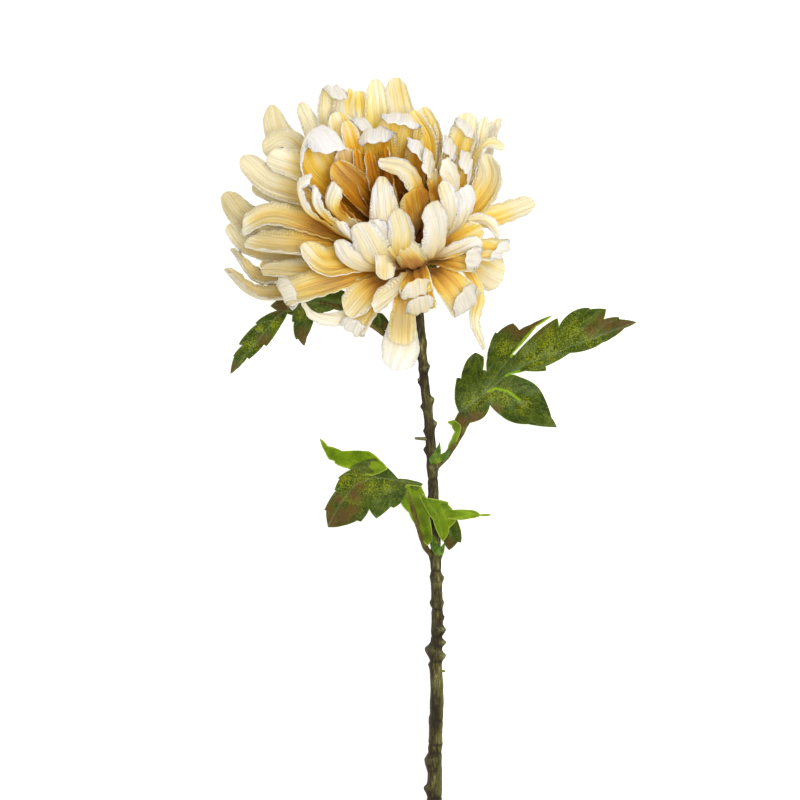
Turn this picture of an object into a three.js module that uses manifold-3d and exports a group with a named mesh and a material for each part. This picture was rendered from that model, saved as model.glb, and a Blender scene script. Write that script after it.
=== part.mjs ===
// A cut chrysanthemum: one large cream bloom on a knobbly leafy stem, lying on a flat surface.
// Millimetres. +X is to the right, +Y runs up the stem to the bloom, +Z is up from the surface.
// The origin is the flat spot on which the cut end of the stem rests.
import * as THREE from "three";
import { mergeVertices } from "three/addons/utils/BufferGeometryUtils.js";
import Module from "manifold-3d";

const wasm = await Module();
wasm.setup();

// Driving dimensions.
const BLADE = 0.8; // thickness of petals and leaves
const GAP = 0.3; // clearance between pieces that touch
const HEAD = new THREE.Vector3(-8.5, 326.5, 52); // reference point of the bloom, where its petals meet
const AXIS = new THREE.Vector3(-0.32, 0.64, 0.7).normalize(); // the way the bloom faces
const FRONT = new THREE.Vector3(0, 0, 1).addScaledVector(AXIS, -AXIS.z).normalize();
const SIDE = new THREE.Vector3().crossVectors(AXIS, FRONT);
const RECEPTACLE = HEAD.clone().add(new THREE.Vector3(-1.5, 0, 0));

const CORE_RADIUS = 12; // the receptacle that the petals grow from
const CORE_LOW = -2.5; // its underside, along the axis of the bloom
const CORE_HIGH = 18;
const CALYX_RADIUS = 8.6;
const CALYX_LENGTH = 8;
const BRACTS = 8; // overlapping round the calyx

const STEM_SIDES = 10;
const STEM_STATIONS = 72;
const STEEPER = 1.9; // how much steeper a knob is on the side of the bloom

const CREAM = new THREE.MeshStandardMaterial({ color: 0xf4e3b2, roughness: 0.72, metalness: 0 });
const LEAF_GREEN = new THREE.MeshStandardMaterial({ color: 0x4b6a2c, roughness: 0.55, metalness: 0 });
const YOUNG_GREEN = new THREE.MeshStandardMaterial({ color: 0x76a32c, roughness: 0.6, metalness: 0 });
const BARK = new THREE.MeshStandardMaterial({ color: 0x4f4d2c, roughness: 0.8, metalness: 0 });

// Rows of petals, from the outermost to the innermost: where their roots sit on the receptacle,
// along its axis and out from it.
const ROWS = [
  { height: 0, radius: 9 },
  { height: 4, radius: 8.5 },
  { height: 8, radius: 7 },
  { height: 12, radius: 5 },
  { height: 14, radius: 3 },
];

// Petals set by eye. Each is its row, its width, how far its edges rise as a share of half its width,
// its twist in degrees from root to tip, how pointed its tip is from 0 to 1, and the points that its
// midline passes through, measured from the head: to the right, up the stem and up from the surface.
const PETALS = [
  // Underneath, bent flat where the bloom rests on the surface.
  [0, 15, 0, 0, 0, [-38, 26, -34], [-56, 40, -52.5], [-68, 50, -52.5]],
  [0, 15, 0, 0, 0, [-16, 36, -34], [-26, 56, -52.5], [-33, 72, -52.5]],
  [0, 15, 0, 0, 0, [6, 34, -34], [18, 54, -52.5], [23, 64, -52.5]],
  // Outside on the left, from the leaves upwards.
  [0, 13, 0.8, 10, 0.8, [-50, -11, 0], [-80, -16, 0], [-97, -3, 4]],
  [0, 13, 0.8, 10, 0.8, [-55, -4, 0], [-80, -8, -4], [-94, 7, 0]],
  [1, 14, 0.5, -15, 0.4, [-50, -4, 16], [-79, -4.5, 18]],
  [1, 20, 0.4, -15, 0, [-35, -8, 26], [-57, -14, 33], [-68, -17, 32], [-61, -14.5, 39]],
  [1, 20, 0.6, 0, 0.3, [-50, 7, 24], [-72, 8, 32], [-87, 10, 30]],
  [0, 17, 0.4, 0, 0.3, [-60, 4, -8], [-86, 8, -6], [-96, 19, -8]],
  [1, 16, 0.5, 0, 0, [-56, 18, 22], [-76, 22, 27], [-89, 15, 22]],
  [0, 18, 0.3, -30, 0.3, [-55, 14, 0], [-85, 20, -2], [-98, 34, 4]],
  [0, 15.5, 0.3, 0, 0.3, [-50, 26, -4], [-84, 38, -6]],
  [1, 16, 0.5, -25, 0.3, [-50, 32, 14], [-75, 40, 16], [-89, 52, 16]],
  [1, 17, 0.4, 0, 0, [-50, 42, 20], [-76, 52, 22]],
  [0, 14, 0.4, -25, 0, [-50, 42, 5], [-67, 60, 6], [-78, 54, 6]],
  [0, 20, 0.3, -20, 0.6, [-44, 38, -6], [-63, 54, -8], [-71.5, 66, -9], [-74.5, 79, -10]],
  // Outside at the top.
  [0, 13, 0.3, -15, 0.5, [-42, 44, -10], [-60, 80, -10]],
  [1, 13.5, 0.3, 0, 0, [-38, 48, -4], [-45, 74, -2], [-43, 87, 6], [-39, 80, 14]],
  [1, 13, 0.4, 0, 0, [-32, 48, 2], [-38, 76, 2], [-36, 86, 8]],
  [0, 12, 0.3, 0, 0, [-25, 48, -8], [-31, 86, -12]],
  [1, 15, 0.4, 0, 0.4, [-18, 50, 0], [-22.5, 91.5, 0]],
  [0, 17, 0.3, 0, 0.3, [-6, 50, -4], [-13, 92.5, -8]],
  [1, 8.5, 0.6, 30, 0, [4, 36, 6], [7, 64, 10], [1.5, 76.5, 14]],
  [2, 9, 0.6, 30, 0, [2, 36, 10], [4, 60, 16], [-4, 74.5, 20]],
  // Outside on the right, from the top down.
  [1, 18, 0.3, 0, 0, [16, 34, 1], [20.5, 56, 5], [24, 67, 8], [22, 62.5, 14]],
  [0, 15, 0.3, 20, 0, [20, 44, -8], [24, 75, -8]],
  [0, 12, 0.3, 20, 0.6, [24, 40, -12], [33, 73, -14]],
  [0, 9, 0.3, 20, 0.3, [28, 38, -18], [37, 70, -20]],
  [2, 13, 0.4, -20, 0, [15, 36, 12], [16, 58, 20], [14, 50.5, 30]],
  [1, 13, 0.4, -35, 0.4, [22, 32, 6], [33, 58, 14], [42, 56, 18]],
  [2, 13, 0.4, 0, 0.4, [17, 28, 18], [22.5, 41, 28], [24, 51, 33], [21.5, 43, 41]],
  [1, 18, 0.4, 30, 0, [24, 24, 8], [34.5, 41, 16], [32.5, 53, 20]],
  [0, 12.5, 0.3, 20, 0, [22, 18, 4], [42, 24, 6], [57, 29.5, 10]],
  [1, 9, 0.4, -110, 0, [18, 18, 26], [32, 20, 30], [40, 12, 32]],
  [1, 17, 0.3, 60, 0.2, [14, 8, 26], [31, 16, 32]],
  [1, 9, 0.4, -100, 0, [14, 4, 30], [30.5, 10, 38]],
  [0, 15.5, 0.3, 0, 0, [22, 3, 18], [32, 5, 24], [41, 4.5, 27], [35.5, 4.5, 34]],
  [1, 14, 0.3, 0, 0, [15, 0, 26], [24, -1, 32], [29, 0, 34], [22, 1, 40]],
  [0, 18, 0.3, 45, -0.2, [24, 0, 2], [42, -9, -8]],
  // Hanging in front of the stem.
  [0, 7.5, 0.5, 0, 0.7, [22, -4, 8], [29, -16, 8], [27, -30, 8], [32, -44, 6]],
  [0, 18, 0.3, 0, -0.2, [10, -7, 25], [17, -14, 31], [24, -22.5, 31], [21, -13.5, 39]],
  [1, 15, 0.3, 0, -0.2, [-1, -8, 26], [0, -18, 32], [1, -25, 32], [0, -17, 39]],
  [1, 16, 0.3, 0, -0.2, [-3, -6, 36], [-2, -12, 42], [-1, -17, 42], [-2, -9, 49]],
  [1, 11.5, 0.3, 0, -0.8, [-7.5, -14, 24], [-8.5, -30, 30], [-9, -41.5, 31]],
  [0, 15.5, 0.2, 200, -0.7, [-7, -14, 18], [-9, -38, 24], [-12, -54.5, 24]],
  [1, 14, 0.5, 80, 0, [-12, -14, 38], [-24, -24, 44]],
  [1, 17, 0.4, -20, 0, [-25, -14, 30], [-36, -27, 34]],
  [0, 14, 0.3, 0, -0.2, [-24, -22, 18], [-30, -30, 24], [-34, -35, 24], [-31, -29, 31]],
  [0, 7.5, 0.5, 200, 0.5, [-28, -24, 18], [-44, -29, 20], [-54, -26, 22], [-59, -19, 24]],
  [1, 17, 0.6, -60, 0.3, [-35, 0, 34], [-48, -1, 40], [-58, 8, 44]],
  // Left of the heart.
  [2, 12, 0.5, 0, 0.3, [-44, 18, 36], [-57, 28, 46], [-59, 38, 50], [-53, 41, 55]],
  [2, 12, 0.6, 0, 0.2, [-40, 18, 42], [-51, 28, 52], [-51, 37, 56]],
  [2, 15, 0.5, 0, 0.1, [-34, 18, 46], [-44, 28, 57], [-41, 38, 61]],
  [4, 9, 0.5, 0, 0.5, [-35, 22, 46], [-41, 31, 55], [-38.5, 35.5, 57]],
  [3, 15, 0.4, -80, 0, [-29, 34, 38], [-38, 43, 48], [-42.5, 48, 50]],
  [2, 23, 0.8, -25, 0, [-42, 36, 26], [-53, 50, 34], [-49, 62, 43], [-40, 51.5, 52]],
  [2, 14, 0.4, -30, 0, [-32, 38, 30], [-39, 55, 40]],
  // Behind the heart.
  [3, 14, 0.5, 0, 0, [-33, 46, 16], [-42, 74, 20]],
  [3, 11, 0.7, 0, 0.2, [-28, 42, 26], [-37, 69, 32]],
  [2, 11, 0.5, 0, 0, [-26, 46, 14], [-30, 70, 18], [-25, 64, 26]],
  [4, 9, 0.4, -30, 0.4, [-28, 36, 36], [-32, 55, 40]],
  [4, 9, 0.4, -30, 0.4, [-22, 36, 38], [-26, 54, 42]],
  [4, 9, 0.4, 20, 0.4, [-14, 36, 36], [-17, 56, 42]],
  [2, 22, 0.4, 0, 0, [-10, 44, 10], [-9, 71, 22], [-10, 66, 34]],
  [2, 20, 0.4, 0, 0, [-18, 42, 18], [-22, 64, 28], [-23, 57, 40]],
  [2, 11, 0.4, 0, 0, [6, 36, 30], [5, 51, 46], [3, 41, 57]],
  [2, 17, 0.4, 0, 0, [-2, 40, 24], [0, 55.5, 40], [-1, 49.5, 52]],
  // Right of the heart.
  [2, 14, 0.4, 0, 0.4, [0, 32, 46], [-8, 45, 57], [-21, 48, 58]],
  [2, 14.5, 0.4, -20, 0.1, [14, 24, 34], [17, 38, 46], [11, 49.5, 55]],
  [2, 11, 0.4, -45, 0.3, [13, 17, 42], [14.5, 28, 54], [11, 39, 58]],
  [2, 12, 0.4, -60, 0, [20, 19, 34], [23, 29, 42], [20, 36, 50]],
  [4, 19, 0.4, -20, 0.1, [-2, 24, 45], [-3, 36, 54]],
  // In front of the heart, curved in over it.
  [2, 17, 0.5, 0, 0.5, [-16, 14, 52], [-18, 28, 62], [-19, 41, 60]],
  [2, 15, 0.5, 0, 0.2, [-9, 6, 54], [-9, 14, 62], [-12, 25, 62]],
  [1, 17, 0.5, 0, 0.6, [-3, 0.5, 46], [-8, 6, 55], [-12, 13, 59]],
  [2, 19, 0.5, 0, 0, [-22, 2, 50], [-26, 9, 60], [-31, 18, 60]],
  [2, 14, 0.4, 0, 0, [-16, 5, 54], [-24, 20, 60]],
  [1, 13, 0.3, 150, 0, [-16, 0, 50], [-17, -2, 60], [-16, -9.5, 58]],
  [1, 14, 0.6, 45, 0.3, [-28, -2, 42], [-36, 2, 50], [-41, 10, 50]],
  [2, 9, 0.5, 0, 0, [-32, 10, 46], [-38, 16, 54], [-40, 20, 58]],
  [1, 17.5, 0.5, 0, 0, [8, 8, 49], [8.5, 19, 61], [5.5, 28.5, 61]],
  [3, 12, 0.4, -30, 0, [8, 30, 34], [6, 45, 43]],
];

// Petals set by rule, in rings round the axis of the bloom. Angles are in degrees: round the axis from
// its front, and above the plane across it at the root and at the tip.
const RINGS = [
  { row: 0, count: 6, from: 126, to: 246, length: 74, width: 14, root: 8, tip: 16 },
  { row: 1, count: 6, from: 130, to: 232, length: 70, width: 14, root: 20, tip: 34 },
  { row: 2, count: 5, from: 132, to: 226, length: 62, width: 14, root: 38, tip: 58 },
  { row: 4, count: 6, from: 0, to: 300, length: 30, width: 8, root: 68, tip: 90 },
];

// Stations along a petal, as shares of its length, and its width there as a share of the widest.
const STATIONS = [0, 0.3, 0.55, 0.76, 0.9, 1];
const ROUND_TIP = [0.24, 0.55, 0.92, 1, 0.93, 0.45];
const POINTED_TIP = [0.24, 0.6, 1, 0.9, 0.52, 0.1];
const BROAD = 15.5; // petals at least this wide are split in two strips, to show their cupped form

// A seeded draw from 0 to 1.
function seeded(seed) {
  let state = seed;
  return () => {
    state = (state * 1664525 + 1013904223) % 4294967296;
    return state / 4294967296;
  };
}

function toSolid(geometry) {
  const bare = geometry.clone();
  bare.deleteAttribute("normal");
  bare.deleteAttribute("uv");
  const merged = mergeVertices(bare, 1e-4);
  return new wasm.Manifold(
    new wasm.Mesh({
      numProp: 3,
      vertProperties: new Float32Array(merged.attributes.position.array),
      triVerts: new Uint32Array(merged.index.array),
    }),
  );
}

// The triangles of the largest connected surface of a mesh: crossing blades can enclose small pockets,
// and this leaves those solid.
function outerSurface(triangles, vertexCount) {
  const parent = Array.from({ length: vertexCount }, (_, i) => i);
  const find = (i) => {
    while (parent[i] !== i) i = parent[i] = parent[parent[i]];
    return i;
  };
  for (let t = 0; t < triangles.length; t += 3) {
    parent[find(triangles[t + 1])] = find(triangles[t]);
    parent[find(triangles[t + 2])] = find(triangles[t]);
  }
  const sizes = new Map();
  for (const i of triangles) sizes.set(find(i), (sizes.get(find(i)) ?? 0) + 1);
  const largest = [...sizes].sort((a, b) => b[1] - a[1])[0][0];
  return triangles.filter((i) => find(i) === largest);
}

function toMesh(solid, name, material) {
  const { numProp, numVert, vertProperties, triVerts } = solid.getMesh();
  const positions = new Float32Array(numVert * 3);
  for (let i = 0; i < numVert; i++) {
    positions.set(vertProperties.subarray(i * numProp, i * numProp + 3), i * 3);
  }
  const geometry = new THREE.BufferGeometry();
  geometry.setAttribute("position", new THREE.BufferAttribute(positions, 3));
  geometry.setIndex(new THREE.BufferAttribute(outerSurface(new Uint32Array(triVerts), numVert), 1));
  geometry.computeVertexNormals();
  const mesh = new THREE.Mesh(geometry, material);
  mesh.name = name;
  return mesh;
}

function fuse(solids) {
  return solids.reduce((whole, next) => whole.add(next));
}

// A closed thin blade over a grid of rows by columns. place(i, j) gives a point of its middle surface
// and the normal there, and settle moves each finished vertex. Both faces are split alike.
function blade(rows, columns, place, settle = (point) => point) {
  const positions = [];
  for (const side of [1, -1]) {
    for (let i = 0; i <= rows; i++) {
      for (let j = 0; j <= columns; j++) {
        const { point, normal } = place(i, j);
        positions.push(...settle(point.clone().addScaledVector(normal, (side * BLADE) / 2), side));
      }
    }
  }
  const perFace = (rows + 1) * (columns + 1);
  const at = (i, j, face) => face * perFace + i * (columns + 1) + j;
  const triangles = [];
  for (let i = 0; i < rows; i++) {
    for (let j = 0; j < columns; j++) {
      triangles.push(at(i, j, 0), at(i, j + 1, 0), at(i + 1, j + 1, 0));
      triangles.push(at(i, j, 0), at(i + 1, j + 1, 0), at(i + 1, j, 0));
      triangles.push(at(i, j, 1), at(i + 1, j + 1, 1), at(i, j + 1, 1));
      triangles.push(at(i, j, 1), at(i + 1, j, 1), at(i + 1, j + 1, 1));
    }
  }
  const rim = [];
  for (let j = 0; j < columns; j++) rim.push([0, j, 0, j + 1]);
  for (let i = 0; i < rows; i++) rim.push([i, columns, i + 1, columns]);
  for (let j = columns; j > 0; j--) rim.push([rows, j, rows, j - 1]);
  for (let i = rows; i > 0; i--) rim.push([i, 0, i - 1, 0]);
  for (const [i, j, k, l] of rim) {
    triangles.push(at(i, j, 0), at(i, j, 1), at(k, l, 1));
    triangles.push(at(i, j, 0), at(k, l, 1), at(k, l, 0));
  }
  const geometry = new THREE.BufferGeometry();
  geometry.setAttribute("position", new THREE.Float32BufferAttribute(positions, 3));
  geometry.setIndex(triangles);
  const solid = toSolid(geometry);
  if (solid.volume() >= 0) return solid;
  geometry.setIndex(triangles.reverse());
  return toSolid(geometry);
}

// One petal along a line of points from its root. Its inner face is turned towards the axis of the bloom.
function petal({ row, width, cup, twist, point, points }) {
  const strips = width >= BROAD ? 2 : 1;
  const first = points[0].clone().sub(RECEPTACLE);
  const outward = first.addScaledVector(AXIS, -first.dot(AXIS)).normalize();
  const root = RECEPTACLE.clone()
    .addScaledVector(AXIS, ROWS[row].height)
    .addScaledVector(outward, ROWS[row].radius);
  const line = new THREE.CatmullRomCurve3([root, ...points], false, "centripetal");
  let across = new THREE.Vector3().crossVectors(AXIS, outward);
  const sections = STATIONS.map((share, i) => {
    const along = line.getTangentAt(share);
    across = across.clone().addScaledVector(along, -across.dot(along)).normalize();
    const turned = across.clone().applyAxisAngle(along, THREE.MathUtils.degToRad(twist * share));
    const half = (width / 2) * THREE.MathUtils.lerp(ROUND_TIP[i], POINTED_TIP[i], point);
    return {
      centre: line.getPointAt(share),
      across: turned,
      normal: new THREE.Vector3().crossVectors(along, turned),
      half,
      rise: cup * half,
    };
  });
  const place = (i, j) => {
    const { centre, across, normal, half, rise } = sections[i];
    const v = (2 * j) / strips - 1;
    return {
      point: centre.clone().addScaledVector(across, v * half).addScaledVector(normal, rise * (v * v - 0.5)),
      normal: normal.clone().addScaledVector(across, (-2 * rise * v) / half).normalize(),
    };
  };
  return blade(STATIONS.length - 1, strips, place, lieOnSurface);
}

// The weight of the bloom presses its lowest petals flat on the surface.
function lieOnSurface(point, side) {
  const lowest = side > 0 ? BLADE : 0;
  return [point.x, point.y, Math.max(point.z, lowest)];
}

function ringPetals() {
  const draw = seeded(7);
  const around = (spread) => (draw() - 0.5) * spread;
  const made = [];
  for (const { row, count, from, to, length, width, root, tip } of RINGS) {
    for (let k = 0; k < count; k++) {
      const angle = THREE.MathUtils.degToRad(from + ((to - from) * k) / (count - 1) + around(8));
      const outward = FRONT.clone().multiplyScalar(Math.cos(angle)).addScaledVector(SIDE, Math.sin(angle));
      const reach = length * (1 + around(0.12));
      const leaves = (degrees) => {
        const rise = THREE.MathUtils.degToRad(degrees + around(10));
        return outward.clone().multiplyScalar(Math.cos(rise)).addScaledVector(AXIS, Math.sin(rise));
      };
      const middle = RECEPTACLE.clone()
        .addScaledVector(AXIS, ROWS[row].height)
        .addScaledVector(outward, ROWS[row].radius)
        .addScaledVector(leaves(root), reach * 0.5);
      const end = middle.clone().addScaledVector(leaves(tip), reach * 0.5);
      made.push({ row, width, cup: 0.35, twist: around(30), point: 0.3, points: [middle, end] });
    }
  }
  return made;
}

function handPetals() {
  return PETALS.map(([row, width, cup, twist, point, ...points]) => ({
    row,
    width,
    cup,
    twist,
    point,
    points: points.map((p) => HEAD.clone().add(new THREE.Vector3(...p))),
  }));
}

// Turns a solid that was made round +Z so that it stands on the axis of the bloom.
function alongAxis(geometry) {
  const turn = new THREE.Quaternion().setFromUnitVectors(new THREE.Vector3(0, 0, 1), AXIS);
  return geometry.applyQuaternion(turn).translate(RECEPTACLE.x, RECEPTACLE.y, RECEPTACLE.z);
}

// A body of revolution round +Z from pairs of radius and height that start and end on the axis.
function turned(profile, sides) {
  const points = profile.map(([radius, height]) => new THREE.Vector2(radius, height));
  return new THREE.LatheGeometry(points, sides).rotateX(Math.PI / 2);
}

function bloom() {
  const shoulder = (CORE_HIGH + CORE_LOW) / 2;
  const core = alongAxis(
    turned(
      [
        [0, CORE_LOW],
        [CORE_RADIUS * 0.75, CORE_LOW],
        [CORE_RADIUS, CORE_LOW + 3.5],
        [CORE_RADIUS, shoulder],
        [CORE_RADIUS * 0.7, CORE_HIGH - 3],
        [0, CORE_HIGH],
      ],
      14,
    ),
  );
  const petals = [...handPetals(), ...ringPetals()].map(petal);
  return toMesh(fuse([toSolid(core), ...petals]), "bloom", CREAM);
}

// The green cup of overlapping bracts that holds the bloom on the stem.
function calyx() {
  const top = CORE_LOW - GAP;
  const cup = turned(
    [
      [0, top - CALYX_LENGTH],
      [3.4, top - CALYX_LENGTH],
      [6.4, top - CALYX_LENGTH * 0.62],
      [CALYX_RADIUS, top - CALYX_LENGTH * 0.2],
      [CALYX_RADIUS - 0.6, top],
      [0, top],
    ],
    14,
  );
  const bracts = Array.from({ length: BRACTS }, (_, k) => {
    const angle = (2 * Math.PI * k) / BRACTS;
    const out = new THREE.Vector3(Math.cos(angle), Math.sin(angle), 0);
    const across = new THREE.Vector3(-out.y, out.x, 0);
    const place = (i, j) => {
      const share = i / 2;
      const radius = 5.2 + 3.9 * share;
      const half = [1.9, 1.7, 0.35][i];
      const height = top - CALYX_LENGTH * 0.8 * (1 - share) - 0.4;
      return {
        point: out.clone().multiplyScalar(radius).addScaledVector(across, (j * 2 - 1) * half).setZ(height),
        normal: out.clone().setZ(-0.6).normalize(),
      };
    };
    return blade(2, 1, place);
  });
  const solid = fuse([toSolid(cup), ...bracts]);
  const mesh = toMesh(solid, "calyx", YOUNG_GREEN);
  alongAxis(mesh.geometry);
  return mesh;
}

// A closed tube of rings round a line of points. radius(share, angle) gives its surface.
function loft(line, stations, sides, radius) {
  const positions = [];
  const start = line.getTangentAt(0);
  let right = new THREE.Vector3(1, 0, 0).addScaledVector(start, -start.x).normalize();
  for (let i = 0; i <= stations; i++) {
    const share = i / stations;
    const along = line.getTangentAt(share);
    right = right.clone().addScaledVector(along, -right.dot(along)).normalize();
    const up = new THREE.Vector3().crossVectors(right, along);
    const centre = line.getPointAt(share);
    for (let j = 0; j < sides; j++) {
      const angle = (2 * Math.PI * j) / sides;
      const reach = radius(share, angle);
      const point = centre
        .clone()
        .addScaledVector(right, reach * Math.cos(angle))
        .addScaledVector(up, reach * Math.sin(angle));
      positions.push(point.x, point.y, point.z);
    }
  }
  positions.push(...line.getPointAt(0).toArray(), ...line.getPointAt(1).toArray());
  const triangles = [];
  const ends = (stations + 1) * sides;
  for (let j = 0; j < sides; j++) {
    const next = (j + 1) % sides;
    triangles.push(ends, next, j);
    triangles.push(ends + 1, stations * sides + j, stations * sides + next);
    for (let i = 0; i < stations; i++) {
      const a = i * sides + j;
      const b = i * sides + next;
      triangles.push(a, b, b + sides, a, b + sides, a + sides);
    }
  }
  const geometry = new THREE.BufferGeometry();
  geometry.setAttribute("position", new THREE.Float32BufferAttribute(positions, 3));
  geometry.setIndex(triangles);
  const solid = toSolid(geometry);
  if (solid.volume() >= 0) return solid;
  geometry.setIndex(triangles.reverse());
  return toSolid(geometry);
}

// A point by its place in the plane of the stem, measured from the head, and its height over the surface.
function spot([x, y, z]) {
  return new THREE.Vector3(HEAD.x + x, HEAD.y + y, z);
}

function route(points) {
  return new THREE.CatmullRomCurve3(points.map(spot), false, "centripetal");
}

// The stem from its cut end to the calyx, and its radius along it.
const STEM_POINTS = [
  [8.5, -328.7, 3.4],
  [7.6, -290, 8.6],
  [7.6, -250, 13.4],
  [8.6, -218, 17.2],
  [8, -199, 19.4],
  [8.8, -180, 21.6],
  [8, -150, 25.1],
  [7, -120, 28.6],
  [6, -100, 30.9],
  [4.3, -78, 33.5],
  [2, -58, 35.8],
  [0.8, -38, 37.8],
  [0, -20, 40.6],
];
const STEM_RADII = [4.3, 4.2, 4.1, 3.5, 3.4, 3.2, 2.9, 2.8, 2.7, 2.6, 2.4, 2.3, 2.1, 2.8];

// Knobs, leaf scars and stubs on the bark: the distance up the stem from its cut end, the side that
// they are on in degrees (0 is right, 90 is up), their height and half their length. They end more
// steeply on the side of the bloom.
const KNOBS = [
  [18, 150, 1, 5],
  [40, 30, 0.9, 4],
  [65, 175, 2, 2.6],
  [79, 175, 2, 4.2],
  [80, 95, 0.8, 3],
  [87.5, 0, 0.6, 1.6],
  [100, 190, 0.5, 2],
  [128, 180, 1, 1.6],
  [132.5, 5, 2.3, 2.6],
  [135.5, 180, 2.6, 3.6],
  [135, 80, 0.8, 3],
  [139.5, 8, 2.2, 2],
  [146, 10, 1.5, 2.4],
  [146, 70, 0.8, 2],
  [152, 5, 0.8, 1.6],
  [159.5, 170, 0.9, 2],
  [159.5, 40, 0.9, 2],
  [159.5, 300, 0.8, 2],
  [172, 0, 1.3, 2.2],
  [172.5, 180, 0.5, 2.2],
  [184, 20, 1, 2.4],
  [184, 170, 0.8, 2.4],
  [200, 20, 0.8, 3],
  [212, 200, 0.6, 2.4],
  [229, 5, 1.4, 2.6],
  [228, 100, 0.8, 3],
  [237, 185, 1.3, 2.2],
  [246.5, 182, 1.1, 1.8],
  [250, 5, 1.9, 2.4],
  [259, 182, 1.2, 1.8],
  [262, 6, 1.8, 2.8],
  [271.5, 182, 1.1, 1.8],
  [278, 90, 1, 2.4],
  [279, 5, 1.2, 2.6],
  [284.5, 182, 1.4, 2],
  [291, 20, 0.5, 3],
];

function stemRadius(share, angle, length) {
  const place = share * (STEM_RADII.length - 1);
  const low = Math.min(Math.floor(place), STEM_RADII.length - 2);
  let radius = THREE.MathUtils.lerp(STEM_RADII[low], STEM_RADII[low + 1], place - low);
  for (const [distance, side, height, half] of KNOBS) {
    const beyond = (share * length - distance) / half;
    const away = beyond > 0 ? beyond * STEEPER : beyond;
    const round = Math.max(0, Math.cos(angle - THREE.MathUtils.degToRad(side)));
    radius += height * Math.exp(-away * away) * round ** 2;
  }
  return radius;
}

// The stem's tube, grown by a clearance where it cuts room for itself out of its neighbours.
function stemTube(clearance = 0) {
  const top = RECEPTACLE.clone().addScaledVector(AXIS, CORE_LOW - GAP - CALYX_LENGTH - GAP);
  const below = top.clone().addScaledVector(AXIS, -6);
  const line = new THREE.CatmullRomCurve3([...STEM_POINTS.map(spot), below, top], false, "centripetal");
  const length = line.getLength();
  return loft(line, STEM_STATIONS, STEM_SIDES, (share, angle) => stemRadius(share, angle, length) + clearance);
}

function stem() {
  // The cut end is pressed on the surface, which leaves a flat spot.
  const ground = new THREE.BoxGeometry(60, 60, 20).translate(0, 0, -10);
  return toMesh(stemTube().subtract(toSolid(ground)), "stem", BARK);
}

// One curved piece of a leaf: its outline seen from above, the rib that its heights are measured
// along, and those heights in millimetres over the surface. droop is how far the edges are lower at
// 20 mm from the rib.
function leafPiece({ outline, rib, start, end, arch = 0, droop = 0, step = 9 }) {
  const from = new THREE.Vector2(rib[0], rib[1]);
  const way = new THREE.Vector2(rib[2], rib[3]).sub(from);
  const length = way.length();
  way.normalize();
  const height = (x, y) => {
    const away = new THREE.Vector2(x, y).sub(from);
    const share = THREE.MathUtils.clamp(away.dot(way) / length, -0.3, 1.3);
    const side = Math.abs(away.cross(way));
    return start + (end - start) * share + arch * 4 * share * (1 - share) - droop * (side / 20) ** 2;
  };
  const xs = outline.map((p) => p[0]);
  const ys = outline.map((p) => p[1]);
  const low = [Math.min(...xs) - 1, Math.min(...ys) - 1];
  const size = [Math.max(...xs) + 1 - low[0], Math.max(...ys) + 1 - low[1]];
  const cells = size.map((s) => Math.max(1, Math.round(s / step)));
  const place = (i, j) => {
    const x = low[0] + (size[0] * i) / cells[0];
    const y = low[1] + (size[1] * j) / cells[1];
    const slopeX = height(x + 0.5, y) - height(x - 0.5, y);
    const slopeY = height(x, y + 0.5) - height(x, y - 0.5);
    return { point: spot([x, y, height(x, y)]), normal: new THREE.Vector3(-slopeX, -slopeY, 1).normalize() };
  };
  const plate = blade(cells[0], cells[1], place);
  const shape = new THREE.Shape(outline.map(([x, y]) => new THREE.Vector2(HEAD.x + x, HEAD.y + y)));
  const cutter = new THREE.ExtrudeGeometry(shape, { depth: 120, bevelEnabled: false }).translate(0, 0, -20);
  return plate.intersect(toSolid(cutter));
}

// A leaf stalk: the points of its middle, with heights over the surface, and its radius at each end.
function stalk(points, thick, thin) {
  return loft(route(points), 8, 7, (share) => THREE.MathUtils.lerp(thick, thin, share));
}

const LEAF_RIGHT = {
  stalk: {
    points: [
      [7, -103, 30.6], [12.4, -98, 31.6], [16.4, -92.5, 32.2], [20.2, -86.5, 32.6], [25, -78, 33.5],
      [36, -64, 36.1],
    ],
    thick: 1.9,
    thin: 0.9,
  },
  pieces: [
    {
      rib: [16, -83, 108.5, -30],
      start: 33,
      end: 40,
      arch: 4,
      droop: 7,
      outline: [
        [16, -83], [19.5, -75], [17.5, -68.5], [18.5, -58], [20.8, -58.2], [21.8, -53.3], [24.5, -48],
        [28, -45.2], [32, -47.5], [31.5, -54], [33.5, -54.5], [33.8, -48], [35, -42], [38, -35], [39, -35.5],
        [42.5, -32.5], [46.8, -30.5], [50, -34], [55, -31.5], [66.5, -26.5], [58.5, -32], [46.2, -46],
        [47.5, -46.6], [60.5, -33.5], [69, -28], [69.5, -32.5], [73.5, -27], [78.5, -23.8], [84.5, -22.8],
        [85.5, -23.6], [93.2, -23.5], [92, -28.5], [99.4, -27.4], [100, -28.6], [108.5, -30], [102.5, -33],
        [96, -38], [91.3, -40.3], [84.5, -43.8], [75, -45.5], [74, -46.2], [62.9, -52.2], [63.2, -54.4],
        [52.7, -54.4], [44.3, -56], [50, -57.5], [57.5, -61], [61.5, -66], [66, -77.8], [68.8, -82.7],
        [54, -81], [47, -80.3], [40.8, -77], [35, -71.5], [33.5, -75.8], [31, -78.5], [24.5, -80.5],
        [21.8, -82.4],
      ],
    },
    {
      // The wing beside the stalk, with its underside up.
      rib: [17, -80, 14.5, -96],
      start: 35.2,
      end: 32.8,
      step: 5,
      outline: [
        [13.5, -80], [17, -79], [20.5, -81.5], [20.5, -84], [19, -88.5], [15.5, -94.5], [13.2, -97],
        [13.8, -93],
        [15.8, -88.5], [17.4, -85], [15.8, -81.8],
      ],
    },
  ],
};

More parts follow.
